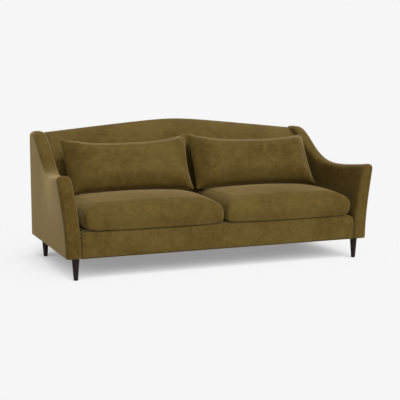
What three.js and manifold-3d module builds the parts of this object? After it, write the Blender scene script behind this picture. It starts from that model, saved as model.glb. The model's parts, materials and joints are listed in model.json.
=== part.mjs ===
// Camelback sofa with two seat cushions and two loose back cushions, in millimetres.
// x runs across the front, y from the front to the back and z up from the floor.
// The origin is on the floor under the middle of the sofa. Left and right are as seen from the front.
import * as THREE from "three";
import { mergeVertices } from "three/addons/utils/BufferGeometryUtils.js";
import Module from "manifold-3d";

const wasm = await Module();
wasm.setup();

// Overall sizes
const overallDepth = 960;
const innerWidth = 1790;
const baseHeight = 133;
const deckHeight = 286;
const fit = 0.3; // left between pieces that touch

// Camelback
const crestHeight = 880;
const shoulderDrop = 77; // from the crest's peak to its ends
const crestRound = 150; // softens the peak of the camel line
const rollDrop = 170; // from the crest to the foot of the rolled top
const rollPower = 1.25;
const crestSetback = 30; // from the rear face to the crest
const rearRoundDrop = 14;
const backFootSetback = 350; // from the rear face to the inside back at the seat deck
const backRake = 72; // from the deck up to the foot of the roll at the shoulders
const crestStationShares = [0, 0.07, 0.15, 0.26, 0.42, 0.65, 1];
const rollSteps = 6;
const rearRoundSteps = 2;

// Arms
const armThickness = 80;
const armFrontHeight = 609;
const armDipHeight = 583;
const armRearRise = 9; // of the arm's rear over the shoulder of the back
const armFlare = 57; // lean of the arm's head at the front
const armHeadDepth = 38;
const armHeadPower = 2.5;
const armLeanPower = 1.8;
const armDipShare = 0.34;
const armTopShare = 0.93;
const armFlareEndShare = 0.72;
const armDipPower = 1.3;
const armRisePower = 1.22;
const armStationShares = [0, 0.12, 0.24, 0.36, 0.46, 0.55, 0.64, 0.73, 0.82, 0.91, 1];
const armLevelShares = [0, 0.25, 0.5, 0.75];
const armHeadSteps = 9;

// Covers and padding
const fabric = 2;
const facingThickness = 6;
const facingInset = 1;
const facingRound = 3;
const outsideBackThickness = 3;
const outsideBackInset = 3;
const armPadding = 16;
const backPadding = 44.7;
const railCoverThickness = 5;
const railCoverSetback = 10;
const railCoverRound = 7;
const railCornerWidth = 40;
const railCornerHeight = 24;
const railLipDepth = 70;
const deckPadThickness = 12;
const dustCoverThickness = 1.5;
const dustCoverInset = 12;
const boltHoleClearance = 2;

// Timber
const railThickness = 28;
const seatRailHeight = 127;
const centreRailWidth = 45;
const centreRailDrop = 10; // of its top under the seat springs
const backPostThickness = 30;
const stileWidth = 44;
const topRailHeight = 108; // at the shoulders, under the camel line
const backBottomRailHeight = 70;
const springRailGap = 5; // between the spring rail and the foot of the inside back
const armBottomRailHeight = 40;
const armPostThickness = 36;
const armTopRailHeight = 70;

// Seat springs and back webbing
const springsPerSide = 4;
const springWire = 4.4;
const springWidth = 52;
const springBars = 11;
const springSides = 5;
const springArcShares = [0.25, 0.75];
const clipWidth = 20;
const clipDepth = 14;
const clipHeight = 8;
const clipSetback = 12; // of the clip's middle from the front of its rail
const webbingWidth = 60;
const webbingThickness = 2;
const webbingEndGap = 4;
const webbingHeightShares = [0.2, 0.5, 0.8];

// Legs
const legInset = 15; // from the middle of the arm's thickness towards the middle of the sofa
const frontLegSetback = 52;
const rearLegSetback = 122;
const legTopRadius = 23;
const legFootRadius = 13;
const legEdgeRound = 2;
const legSides = 16;
const boltRadius = 4;
const boltSides = 10;
const boltInLeg = 38;
const boltInRail = 32;

// Seat cushions
const seatGap = 19; // between the two seat cushions
const seatEndGap = 13.5; // from a seat cushion to the arm
const seatSetback = 25; // from the arms' front ends
const seatRearGap = 10; // to the foot of the inside back
const seatEdgeHeight = 161;
const seatCrown = 17;
const seatCornerRadius = 40;
const seatFrontRound = 52; // of the upper edge, from the front face inward
const seatEndRound = 100; // of the upper edge, from the end inward
const seatRoundHeight = 68;
const seatBottomRound = 20;
const seatCornerDrop = 12;
const seatCornerLift = 14;
const seatSideBulge = 7;
const seatCoverThickness = 6;
const seatSideShares = [-0.6, 0, 0.6];
const seatCornerSteps = 3;
const seatTopSteps = 3;
const seatBottomSteps = 2;
const seatInnerShares = [0.78, 0.45];
const zipLength = 520;
const zipHeight = 9;
const zipLift = 74; // from the underside of the cushion

// Loose back cushions
const looseGap = 22; // between the two back cushions
const looseEndGap = 38; // from a back cushion to the arm
const looseHeight = 402;
const looseThickness = 184;
const looseLeanDegrees = 30;
const looseMiddleRise = 153; // over the crown of the seat cushion
const looseMiddleSetback = 58; // in front of the foot of the inside back
const looseSidePinchShare = 0.035;
const looseTopPinchShare = 0.26;
const looseBottomPinchShare = 0.22;
const looseEdgePower = 0.55;
const looseCoverThickness = 5;
const looseColumns = 14;
const looseRows = 8;
const openingLength = 420;
const openingHeight = 8;

// Places worked out from the sizes above
const frontY = -overallDepth / 2;
const rearY = overallDepth / 2;
const shoulderHeight = crestHeight - shoulderDrop;
const armRearHeight = shoulderHeight + armRearRise;
const armCentre = (innerWidth + armThickness) / 2;
const legX = armCentre - legInset;
const hemHeight = baseHeight + dustCoverThickness + fit;
const frameRearY = rearY - outsideBackThickness - fit;
const armFrontY = frontY + facingThickness + fit;
const seatHalf = innerWidth / 2 - fit;
const railFrontY = frontY + railCoverSetback + railCoverThickness + fit;
const seatRailTop = hemHeight + seatRailHeight;
const deckTop = deckHeight - fit;
const lipBottom = deckTop - fabric;
const deckPadTop = lipBottom - fit;
const footY = rearY - backFootSetback;
const seatWidth = (innerWidth - seatGap) / 2 - seatEndGap;
const seatDepth = footY - seatRearGap - frontY - seatSetback;
const seatCrownHeight = deckHeight + seatEdgeHeight + seatCrown;
const looseWidth = (innerWidth - looseGap) / 2 - looseEndGap;
const frontLegY = frontY + frontLegSetback;
const rearLegY = rearY - rearLegSetback;
const crestY = rearY - crestSetback;
const rakeSlope = backRake / (shoulderHeight - rollDrop - deckHeight);
const armPadInset = fabric + fit;
const armWoodInset = armPadInset + armPadding + fit;
const armBottomRailTop = hemHeight + armBottomRailHeight;
const backPadInset = fabric + fit;
const webbingInset = backPadInset + backPadding + fit;
const backWoodInset = webbingInset + webbingThickness + fit;
const springRailRearY = footY - springRailGap;
const springRailFrontY = springRailRearY - railThickness;
const springHeight = seatRailTop + fit + clipHeight / 2;
const postInnerX = seatHalf - backPostThickness;
const frontPostRear = armFrontY + armPostThickness;
const rearPostFront = frameRearY - armPostThickness;
const topRailBottom = shoulderHeight - backWoodInset - topRailHeight;
const overrun = 20; // of a cutting tool past what it cuts

const X = new THREE.Vector3(1, 0, 0);
const Y = new THREE.Vector3(0, 1, 0);
const Z = new THREE.Vector3(0, 0, 1);

// Materials
const velvet = new THREE.MeshStandardMaterial({ color: 0x6b5729, roughness: 0.9, metalness: 0 });
const foam = new THREE.MeshStandardMaterial({ color: 0xe6dcb8, roughness: 0.95, metalness: 0 });
const timber = new THREE.MeshStandardMaterial({ color: 0xc8a877, roughness: 0.75, metalness: 0 });
const darkWood = new THREE.MeshStandardMaterial({ color: 0x20130d, roughness: 0.45, metalness: 0 });
const steel = new THREE.MeshStandardMaterial({ color: 0x8d9093, roughness: 0.4, metalness: 1 });
const webbing = new THREE.MeshStandardMaterial({ color: 0x2d2a27, roughness: 0.9, metalness: 0 });
const lining = new THREE.MeshStandardMaterial({ color: 0x191919, roughness: 0.95, metalness: 0 });
const zipTape = new THREE.MeshStandardMaterial({ color: 0x4f4120, roughness: 0.8, metalness: 0 });

const sofa = new THREE.Group();

function addPiece(name, geometry, material, parent = sofa) {
  const mesh = new THREE.Mesh(geometry, material);
  mesh.name = name;
  parent.add(mesh);
  return mesh;
}

// Builds a geometry from points and triangles, with its faces turned outward.
function closedGeometry(points, index) {
  let volume = 0;
  for (let i = 0; i < index.length; i += 3) {
    const [a, b, c] = [points[index[i]], points[index[i + 1]], points[index[i + 2]]];
    volume += a.clone().cross(b).dot(c);
  }
  const geometry = new THREE.BufferGeometry().setFromPoints(points);
  geometry.setIndex(volume < 0 ? [...index].reverse() : index);
  return geometry;
}

// A solid through a row of sections. A section is a strip of point pairs: the skin follows the first
// points of the pairs and comes back along the second ones. On a shell, both ways are cut into
// triangles alike, so that layers that lie on each other keep their distance.
function loft(sections, isShell = false) {
  const pairs = sections[0].length;
  const ring = 2 * pairs;
  const points = sections.flatMap((s) => [...s.map((p) => p[0]), ...s.map((p) => p[1]).reverse()]);
  const index = [];
  const quad = (a, b, c, d) => index.push(a, b, c, a, c, d);
  for (let k = 0; k + 1 < sections.length; k++)
    for (let i = 0; i < ring; i++) {
      const j = (i + 1) % ring;
      const [a, b, c, d] = [k * ring + i, k * ring + j, (k + 1) * ring + j, (k + 1) * ring + i];
      if (isShell && i >= pairs) quad(b, c, d, a);
      else quad(a, b, c, d);
    }
  const last = (sections.length - 1) * ring;
  for (let i = 0; i + 1 < pairs; i++) {
    const [c, d] = [ring - 2 - i, ring - 1 - i];
    quad(d, c, i + 1, i);
    quad(last + i, last + i + 1, last + c, last + d);
  }
  return closedGeometry(points, index);
}

// A closed skin over rings of points between a first and a last point.
function balloon(first, rings, last) {
  const size = rings[0].length;
  const points = [first, ...rings.flat(), last];
  const index = [];
  for (let i = 0; i < size; i++) {
    const j = (i + 1) % size;
    index.push(0, 1 + j, 1 + i);
    for (let k = 0; k + 1 < rings.length; k++) {
      const [a, b] = [1 + k * size, 1 + (k + 1) * size];
      index.push(a + i, a + j, b + j, a + i, b + j, b + i);
    }
    const end = 1 + (rings.length - 1) * size;
    index.push(points.length - 1, end + i, end + j);
  }
  return closedGeometry(points, index);
}

function between(xs, ys, zs) {
  const box = new THREE.BoxGeometry(xs[1] - xs[0], ys[1] - ys[0], zs[1] - zs[0]);
  return box.translate((xs[0] + xs[1]) / 2, (ys[0] + ys[1]) / 2, (zs[0] + zs[1]) / 2);
}

function upright(radius, sides, zs, x, y) {
  const rod = new THREE.CylinderGeometry(radius, radius, zs[1] - zs[0], sides).rotateX(Math.PI / 2);
  return rod.translate(x, y, (zs[0] + zs[1]) / 2);
}

function toSolid(geometry) {
  const bare = geometry.clone();
  bare.deleteAttribute("normal");
  bare.deleteAttribute("uv");
  const merged = mergeVertices(bare);
  const vertProperties = new Float32Array(merged.attributes.position.array);
  const triVerts = new Uint32Array(merged.index.array);
  return new wasm.Manifold(new wasm.Mesh({ numProp: 3, vertProperties, triVerts }));
}

function toGeometry(solid) {
  const mesh = solid.getMesh();
  const geometry = new THREE.BufferGeometry();
  geometry.setAttribute("position", new THREE.BufferAttribute(mesh.vertProperties, 3));
  geometry.setIndex(new THREE.BufferAttribute(mesh.triVerts, 1));
  return geometry;
}

function cut(geometry, ...tools) {
  return toGeometry(tools.reduce((body, tool) => body.subtract(toSolid(tool)), toSolid(geometry)));
}

function join(...geometries) {
  return toGeometry(geometries.map(toSolid).reduce((body, other) => body.add(other)));
}

function smoothStep(t) {
  const u = Math.min(Math.max(t, 0), 1);
  return u * u * (3 - 2 * u);
}

function mix(a, b, t) {
  return a + (b - a) * t;
}

// Calls make at the two stations beside a place and mixes their sections, so that pieces that end
// between stations still follow the same facets.
function atStation(place, stations, make) {
  const above = stations.findIndex((s) => s >= place);
  const i = Math.max(above, 1);
  const t = (place - stations[i - 1]) / (stations[i] - stations[i - 1]);
  const [near, far] = [make(stations[i - 1]), make(stations[i])];
  return near.map((point, k) => point.map((value, axis) => mix(value, far[k][axis], t)));
}

function placesBetween(start, end, stations) {
  const inside = stations.filter((s) => s > start && s < end);
  return [start, ...inside.sort((a, b) => a - b), end];
}

// The arm's outline

function armRidge(share) {
  const fall = Math.max(1 - share / armDipShare, 0) ** armDipPower;
  const climb = Math.min(Math.max((share - armDipShare) / (armTopShare - armDipShare), 0), 1);
  const rise = smoothStep(climb ** armRisePower);
  return armDipHeight + (armFrontHeight - armDipHeight) * fall + (armRearHeight - armDipHeight) * rise;
}

function armLean(share, z) {
  const lean = armFlare * (1 - smoothStep(share / armFlareEndShare));
  const height = Math.max((z - baseHeight) / (armRidge(share) - baseHeight), 0);
  return lean * height ** armLeanPower;
}

// Points [x, z] of the right arm at a share of the depth, from the inner foot over the head to the outer.
function armOutline(share, inset, floor) {
  const springing = armRidge(share) - armHeadDepth;
  const levels = armLevelShares.map((s) => mix(baseHeight, springing, s));
  const leans = [...levels, springing].map((z) => armLean(share, z));
  const half = armThickness / 2 - inset;
  const above = levels.filter((z) => z > floor);
  const k = levels.length - above.length;
  const top = above.length ? above[0] : springing;
  const t = (floor - levels[k - 1]) / (top - levels[k - 1]);
  const floorLean = mix(leans[k - 1], leans[k], t);
  const side = [[floorLean, floor], ...above.map((z, i) => [leans[k + i], z])];
  const head = [];
  for (let i = 0; i <= armHeadSteps; i++) {
    const angle = Math.PI * (1 - i / armHeadSteps);
    const across = Math.sign(Math.cos(angle)) * Math.abs(Math.cos(angle)) ** (2 / armHeadPower);
    const z = springing + (armHeadDepth - inset) * Math.sin(angle) ** (2 / armHeadPower);
    head.push([armCentre + armLean(share, z) + half * across, z]);
  }
  return [
    ...side.map(([lean, z]) => [armCentre + lean - half, z]),
    ...head,
    ...side.reverse().map(([lean, z]) => [armCentre + lean + half, z]),
  ];
}

function armPoints(y, inset, floorAt) {
  const share = (y - frontY) / overallDepth;
  const outline = atStation(share, armStationShares, (s) => armOutline(s, inset, floorAt(s)));
  return outline.map(([x, z]) => new THREE.Vector3(x, y, z));
}

// Every layer of the arm has a section where a post ends.
function armPlaces(start, end) {
  const stations = armStationShares.map((s) => frontY + s * overallDepth);
  return placesBetween(start, end, [...stations, frontPostRear, rearPostFront]);
}

function armShell(start, end, outer, inner, floorAt) {
  const section = (y) => {
    const under = armPoints(y, inner, floorAt);
    return armPoints(y, outer, floorAt).map((point, i) => [point, under[i]]);
  };
  return loft(armPlaces(start, end).map(section), true);
}

function ladder(points) {
  return points.slice(0, points.length / 2).map((point, i) => [point, points[points.length - 1 - i]]);
}

function armBlock(start, end, inset, floorAt) {
  return loft(armPlaces(start, end).map((y) => ladder(armPoints(y, inset, floorAt))));
}

function armFacing() {
  const face = (y, inset) => ladder(armPoints(y, inset, () => hemHeight));
  const rearOfFacing = frontY + facingThickness;
  return loft([
    face(frontY, facingInset + facingRound),
    face(frontY + facingRound, facingInset),
    face(rearOfFacing, facingInset),
  ]);
}

// The bottom rail is as wide as the cover allows, and takes the leg bolts from below.
function armBottomRail() {
  const section = (y) => {
    const low = armPoints(y, armPadInset, () => hemHeight);
    const high = armPoints(y, armPadInset, () => armBottomRailTop);
    return [
      [low[0], low[low.length - 1]],
      [high[0], high[high.length - 1]],
    ];
  };
  const rail = loft(armPlaces(armFrontY, frameRearY).map(section));
  const heights = [hemHeight - overrun, hemHeight + boltInRail + fit];
  const bores = [frontLegY, rearLegY].map((y) => upright(boltRadius + fit, boltSides, heights, legX, y));
  return cut(rail, ...bores);
}

function makeArm(side, direction) {
  const arm = new THREE.Group();
  arm.scale.x = direction;
  sofa.add(arm);
  const railTop = () => armBottomRailTop + fit;
  const topRailFloor = (share) => armRidge(share) - armWoodInset - armTopRailHeight;
  const pieces = {
    arm_cover: [armShell(armFrontY, frameRearY, 0, fabric, () => hemHeight), velvet],
    arm_front_facing: [armFacing(), velvet],
    arm_foam: [armShell(armFrontY, frameRearY, armPadInset, armPadInset + armPadding, railTop), foam],
    arm_bottom_rail: [armBottomRail(), timber],
    arm_front_post: [armBlock(armFrontY, frontPostRear, armWoodInset, railTop), timber],
    arm_rear_post: [armBlock(rearPostFront, frameRearY, armWoodInset, railTop), timber],
    arm_top_rail: [armBlock(frontPostRear + fit, rearPostFront - fit, armWoodInset, topRailFloor), timber],
  };
  for (const [name, [geometry, material]] of Object.entries(pieces))
    addPiece(name + "_" + side, geometry, material, arm);
}

// The inside back

function crest(x) {
  const slope = (shoulderHeight - crestHeight) / (Math.hypot(innerWidth / 2, crestRound) - crestRound);
  return crestHeight + slope * (Math.hypot(x, crestRound) - crestRound);
}

const crestStations = [...crestStationShares.map((s) => -s).reverse(), ...crestStationShares.slice(1)].map(
  (s) => (s * innerWidth) / 2,
);

function rakeY(z) {
  return footY + rakeSlope * (z - deckHeight);
}

// Points [y, z] up the inside back to the crest.
function backFront(x, inset, floor) {
  const rollFootZ = crest(x) - rollDrop;
  const reach = crestY - rakeY(rollFootZ) - inset;
  const points = [
    [footY + inset, floor],
    [footY + inset, deckHeight],
  ];
  for (let i = 0; i <= rollSteps; i++) {
    const angle = (Math.PI / 2) * (i / rollSteps);
    const y = crestY - reach * Math.cos(angle) ** (2 / rollPower);
    points.push([y, rollFootZ + (rollDrop - inset) * Math.sin(angle) ** (2 / rollPower)]);
  }
  return points;
}

// Points [y, z] from the crest to the rear, where the cover turns down.
function backRear(x, inset, drop) {
  const points = [];
  for (let i = 1; i <= rearRoundSteps; i++) {
    const t = i / rearRoundSteps;
    points.push([mix(crestY, frameRearY, t), crest(x) - inset - drop * t * t]);
  }
  return points;
}

function backSection(x, make) {
  const points = atStation(x, crestStations, make);
  return points.map(([y, z]) => new THREE.Vector3(x, y, z));
}

// Every layer of the back has a section where a post or the stile ends.
function backPlaces(start, end) {
  const ends = [postInnerX, stileWidth / 2].flatMap((x) => [-x, x]);
  return placesBetween(start, end, [...crestStations, ...ends]);
}

function backShell(outer, inner, innerDrop, floor) {
  const section = (x) => {
    const skin = backSection(x, (s) => [...backFront(s, outer, floor), ...backRear(s, outer, rearRoundDrop)]);
    const under = backSection(x, (s) => [...backFront(s, inner, floor), ...backRear(s, inner, innerDrop)]);
    return skin.map((point, i) => [point, under[i]]);
  };
  return loft(backPlaces(-seatHalf, seatHalf).map(section), true);
}

// A shaped upright: its front edge carries the webbing and the foam, its rear edge is straight.
function backUpright(start, end, floor) {
  const section = (x) => {
    const front = backSection(x, (s) => backFront(s, backWoodInset, floor));
    return front.map((point) => [point, new THREE.Vector3(x, frameRearY, point.z)]);
  };
  return loft(backPlaces(start, end).map(section));
}

function topRail(halfLength, grow) {
  const section = (x) => {
    const [[, z]] = atStation(x, crestStations, (s) => [[0, crest(s) - backWoodInset + grow]]);
    const edge = (y) => [new THREE.Vector3(x, y, topRailBottom - grow), new THREE.Vector3(x, y, z)];
    return [crestY - grow, frameRearY + grow].map(edge);
  };
  return loft(backPlaces(-halfLength, halfLength).map(section));
}

function webbingStrap(share) {
  const half = seatHalf - webbingEndGap;
  const middle = mix(deckHeight, shoulderHeight - rollDrop, share);
  const section = (x) =>
    [middle - webbingWidth / 2, middle + webbingWidth / 2].map((z) => [
      new THREE.Vector3(x, rakeY(z) + webbingInset, z),
      new THREE.Vector3(x, rakeY(z) + webbingInset + webbingThickness, z),
    ]);
  return loft([-half, half].map(section));
}

function outsideBack() {
  const armHead = armRearHeight - armHeadDepth;
  const outline = new THREE.Shape();
  outline.moveTo(-armCentre, hemHeight);
  outline.lineTo(armCentre, hemHeight);
  outline.lineTo(armCentre, armHead);
  outline.lineTo(seatHalf, armHead);
  for (const x of backPlaces(-seatHalf, seatHalf).reverse())
    outline.lineTo(x, crest(x) - rearRoundDrop - outsideBackInset);
  outline.lineTo(-seatHalf, armHead);
  outline.lineTo(-armCentre, armHead);
  const panel = new THREE.ExtrudeGeometry(outline, { depth: outsideBackThickness, bevelEnabled: false });
  panel.rotateX(Math.PI / 2).translate(0, rearY, 0);
  const armEnd = () => {
    const sections = [frameRearY + fit, rearY].map((y) => {
      const points = armOutline(1, outsideBackInset, hemHeight);
      return ladder(points.map(([x, z]) => new THREE.Vector3(x, y, z)));
    });
    return loft(sections);
  };
  return join(panel, armEnd(), mirrored(armEnd()));
}

function mirrored(geometry) {
  const copy = toGeometry(toSolid(geometry)).scale(-1, 1, 1);
  copy.setIndex([...copy.index.array].reverse());
  return copy;
}

function makeBack() {
  const floor = seatRailTop + fit;
  const stile = backUpright(-stileWidth / 2, stileWidth / 2, hemHeight + backBottomRailHeight + fit);
  addPiece("inside_back_cover", backShell(0, fabric, rearRoundDrop, floor), velvet);
  addPiece("outside_back_cover", outsideBack(), velvet);
  addPiece("back_foam", backShell(backPadInset, backPadInset + backPadding, 0, floor), foam);
  addPiece("back_top_rail", topRail(postInnerX - fit, 0), timber);
  addPiece("back_centre_stile", cut(stile, topRail(stileWidth, fit)), timber);
  addPiece("back_post_left", backUpright(-seatHalf, -postInnerX, hemHeight), timber);
  addPiece("back_post_right", backUpright(postInnerX, seatHalf, hemHeight), timber);
  const bottomRail = between(
    [fit - postInnerX, postInnerX - fit],
    [frameRearY - railThickness, frameRearY],
    [hemHeight, hemHeight + backBottomRailHeight],
  );
  addPiece("back_bottom_rail", bottomRail, timber);
  webbingHeightShares.forEach((share, i) => addPiece("back_webbing_" + (i + 1), webbingStrap(share), webbing));
}

// The seat frame, its springs and its upholstery

function makeSeatFrame() {
  const railRearY = railFrontY + railThickness;
  const sideInnerX = seatHalf - railThickness;
  const heights = [hemHeight, seatRailTop];
  addPiece("front_rail", between([-seatHalf, seatHalf], [railFrontY, railRearY], heights), timber);
  const springRail = between(
    [fit - sideInnerX, sideInnerX - fit],
    [springRailFrontY, springRailRearY],
    heights,
  );
  addPiece("spring_rail", springRail, timber);
  const sideRearY = footY + backWoodInset - fit;
  const sideRail = between([sideInnerX, seatHalf], [railRearY + fit, sideRearY], heights);
  addPiece("side_rail_right", sideRail, timber);
  addPiece("side_rail_left", mirrored(sideRail), timber);
  const centreRail = between(
    [-centreRailWidth / 2, centreRailWidth / 2],
    [railRearY + fit, springRailFrontY - fit],
    [hemHeight, seatRailTop - centreRailDrop],
  );
  addPiece("centre_rail", centreRail, timber);
}

// A wire along points that lie in a level plane.
function wire(points, radius, sides) {
  const rings = points.map((point, i) => {
    const before = points[Math.max(i - 1, 0)];
    const after = points[Math.min(i + 1, points.length - 1)];
    const across = after.clone().sub(before).normalize().cross(Z);
    return Array.from({ length: sides }, (_, k) => {
      const angle = (2 * Math.PI * k) / sides;
      const out = across.clone().multiplyScalar(radius * Math.cos(angle));
      return point.clone().add(out).addScaledVector(Z, radius * Math.sin(angle));
    });
  });
  return balloon(points[0], rings, points[points.length - 1]);
}

// Sinuous spring: bars across, joined by half rounds on alternate sides, the left half of the seat
// mirroring the right.
function sinuousSpring(x, start, end) {
  const pitch = (end - start) / (springBars - 1);
  const round = pitch / 2;
  const reach = springWidth / 2 - round;
  const points = [];
  for (let bar = 0; bar < springBars; bar++) {
    const direction = (bar % 2 ? -1 : 1) * Math.sign(x);
    const y = start + bar * pitch;
    points.push(new THREE.Vector3(x - direction * reach, y, springHeight));
    points.push(new THREE.Vector3(x + direction * reach, y, springHeight));
    if (bar === springBars - 1) continue;
    for (const share of springArcShares) {
      const angle = Math.PI * share;
      const out = direction * (reach + round * Math.sin(angle));
      points.push(new THREE.Vector3(x + out, y + round * (1 - Math.cos(angle)), springHeight));
    }
  }
  return wire(points, springWire / 2, springSides);
}

function springClip(x, y) {
  return between(
    [x - clipWidth / 2, x + clipWidth / 2],
    [y - clipDepth / 2, y + clipDepth / 2],
    [seatRailTop + fit, seatRailTop + fit + clipHeight],
  );
}

function makeSprings() {
  const start = railFrontY + clipSetback;
  const end = springRailFrontY + clipSetback;
  const bay = (seatHalf - railThickness - centreRailWidth / 2) / springsPerSide;
  for (const direction of [-1, 1])
    for (let i = 0; i < springsPerSide; i++) {
      const x = direction * (centreRailWidth / 2 + bay * (i + 1 / 2));
      const spring = join(sinuousSpring(x, start, end), springClip(x, start), springClip(x, end));
      const side = direction < 0 ? "left" : "right";
      addPiece("seat_spring_" + side + "_" + (i + 1), spring, steel);
    }
}

// The rail cover runs down the front and back over the top, with its upper corners rounded off.
function railCover() {
  const half = armCentre;
  const front = frontY + railCoverSetback;
  const outline = new THREE.Shape();
  outline.moveTo(front, hemHeight);
  outline.lineTo(front + railCoverThickness, hemHeight);
  outline.lineTo(front + railCoverThickness, lipBottom);
  outline.lineTo(front + railLipDepth, lipBottom);
  outline.lineTo(front + railLipDepth, deckTop);
  outline.lineTo(front + railCoverRound, deckTop);
  outline.quadraticCurveTo(front, deckTop, front, deckTop - railCoverRound);
  const run = { depth: 2 * half, bevelEnabled: false, curveSegments: 3 };
  const cover = new THREE.ExtrudeGeometry(outline, run);
  cover.applyMatrix4(new THREE.Matrix4().makeBasis(Y, Z, X)).translate(-half, 0, 0);
  const armRoom = armBlock(frontY, armFrontY + railLipDepth + overrun, -fit, () => baseHeight);
  return cut(cover, armRoom, mirrored(armRoom), railCorner(), mirrored(railCorner()));
}

// What the rounded upper corner leaves out.
function railCorner() {
  const edge = innerWidth / 2 + armLean(0, deckTop);
  const outline = new THREE.Shape();
  outline.moveTo(edge + overrun, deckTop + overrun);
  outline.lineTo(edge - railCornerWidth, deckTop + overrun);
  outline.lineTo(edge - railCornerWidth, deckTop);
  outline.quadraticCurveTo(edge, deckTop, edge, deckTop - railCornerHeight);
  outline.lineTo(edge + overrun, deckTop - railCornerHeight);
  const depth = railCoverSetback + railCoverThickness;
  const tool = new THREE.ExtrudeGeometry(outline, { depth, bevelEnabled: false, curveSegments: 3 });
  return tool.rotateX(Math.PI / 2).translate(0, frontY + depth, 0);
}

function dustCover() {
  const halfWidth = innerWidth / 2 + armThickness - dustCoverInset;
  const halfDepth = overallDepth / 2 - dustCoverInset;
  const sheet = between(
    [-halfWidth, halfWidth],
    [-halfDepth, halfDepth],
    [baseHeight, baseHeight + dustCoverThickness],
  );
  const holes = legPlaces().map(([x, y]) =>
    upright(boltRadius + boltHoleClearance, boltSides, [baseHeight - overrun, baseHeight + overrun], x, y),
  );
  return cut(sheet, ...holes);
}

function makeSeatUpholstery() {
  const lipRear = frontY + railCoverSetback + railLipDepth;
  const rear = footY - fit;
  addPiece("front_rail_cover", railCover(), velvet);
  const pad = between([-seatHalf, seatHalf], [railFrontY, rear], [deckPadTop - deckPadThickness, deckPadTop]);
  addPiece("deck_pad", pad, foam);
  const cloth = between([-seatHalf, seatHalf], [lipRear + fit, rear], [lipBottom, deckTop]);
  addPiece("deck_cloth", cloth, velvet);
  addPiece("dust_cover", dustCover(), lining);
}

// Legs

function legPlaces() {
  return [
    [-legX, frontLegY, "front_left"],
    [legX, frontLegY, "front_right"],
    [-legX, rearLegY, "rear_left"],
    [legX, rearLegY, "rear_right"],
  ];
}

function legGeometry() {
  const top = baseHeight - fit;
  const bore = boltRadius + fit;
  const profile = [
    [0, 0],
    [legFootRadius - legEdgeRound, 0],
    [legFootRadius, legEdgeRound],
    [legTopRadius, top - legEdgeRound],
    [legTopRadius - legEdgeRound, top],
    [bore, top],
    [bore, top - boltInLeg - fit],
    [0, top - boltInLeg - fit],
  ].map(([r, z]) => new THREE.Vector2(r, z));
  return new THREE.LatheGeometry(profile, legSides).rotateX(Math.PI / 2);
}

function makeLegs() {
  for (const [x, y, place] of legPlaces()) {
    addPiece("leg_" + place, legGeometry(), darkWood).position.set(x, y, 0);
    const heights = [baseHeight - fit - boltInLeg, hemHeight + boltInRail];
    addPiece("leg_bolt_" + place, upright(boltRadius, boltSides, heights, x, y), steel);
  }
}

// Seat cushions

// Points [x, y] round a cushion, drawn in by given distances from its widest outline.
function seatPlan(drawnX, drawnY) {
  const [halfX, halfY] = [seatWidth / 2, seatDepth / 2];
  const radius = seatCornerRadius;
  const corners = [
    [1, 1, 0],
    [-1, 1, 1],
    [-1, -1, 2],
    [1, -1, 3],
  ];
  const points = [];
  for (const [sx, sy, turn] of corners) {
    for (let i = 0; i <= seatCornerSteps; i++) {
      const angle = (Math.PI / 2) * (turn + i / seatCornerSteps);
      const [x, y] = [radius * Math.cos(angle), radius * Math.sin(angle)];
      points.push([sx * (halfX - radius) + x, sy * (halfY - radius) + y]);
    }
    const along = turn % 2 === 0;
    for (const share of seatSideShares) {
      const run = share * ((along ? halfX : halfY) - radius);
      points.push(along ? [-sy * run, sy * halfY] : [sx * halfX, sx * run]);
    }
  }
  return points.map(([x, y]) => [x * (1 - drawnX / halfX), y * (1 - drawnY / halfY)]);
}

// One skin of a seat cushion, lying inside the fabric by the inset, with its underside at z = 0.
function seatSkin(inset) {
  const [halfX, halfY] = [seatWidth / 2, seatDepth / 2];
  const [low, high] = [inset, seatEdgeHeight - inset];
  const crown = (x, y) => seatCrown * (1 - (x / halfX) ** 2) * (1 - (y / halfY) ** 2);
  const ring = (drawnX, drawnY, z, isTop) =>
    seatPlan(inset + drawnX, inset + drawnY).map(([x, y]) => {
      const [u, v] = [x / halfX, y / halfY];
      const corner = (u * v) ** 4;
      const bulge = seatSideBulge * Math.sin((Math.PI * z) / seatEdgeHeight);
      const lift = isTop ? crown(x, y) - seatCornerDrop * corner : seatCornerLift * corner;
      return new THREE.Vector3(x + bulge * u * (1 - v * v), y + bulge * v * (1 - u * u), z + lift);
    });
  const lowRing = (angle) => {
    const drawn = seatBottomRound * (1 - Math.sin(angle));
    return ring(drawn, drawn, low + seatBottomRound * (1 - Math.cos(angle)), false);
  };
  const highRing = (angle) => {
    const drawnShare = 1 - Math.cos(angle);
    const rounds = [seatEndRound, seatFrontRound, seatRoundHeight];
    const [end, front, height] = rounds.map((round) => round - inset);
    return ring(end * drawnShare, front * drawnShare, high - height * (1 - Math.sin(angle)), true);
  };
  const scaled = (edge, share, z) => edge.map(({ x, y }) => new THREE.Vector3(x * share, y * share, z));
  const raised = ({ x, y, z }) => new THREE.Vector3(x, y, z + crown(x, y));
  const angles = (steps) => Array.from({ length: steps + 1 }, (_, i) => (Math.PI / 2) * (i / steps));
  const [foot, top] = [lowRing(0), highRing(Math.PI / 2)];
  const rings = [
    ...[...seatInnerShares].reverse().map((share) => scaled(foot, share, low)),
    ...angles(seatBottomSteps).map(lowRing),
    ...angles(seatTopSteps).map(highRing),
    ...seatInnerShares.map((share) => scaled(top, share, high).map(raised)),
  ];
  return balloon(new THREE.Vector3(0, 0, low), rings, new THREE.Vector3(0, 0, high + seatCrown));
}

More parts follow.
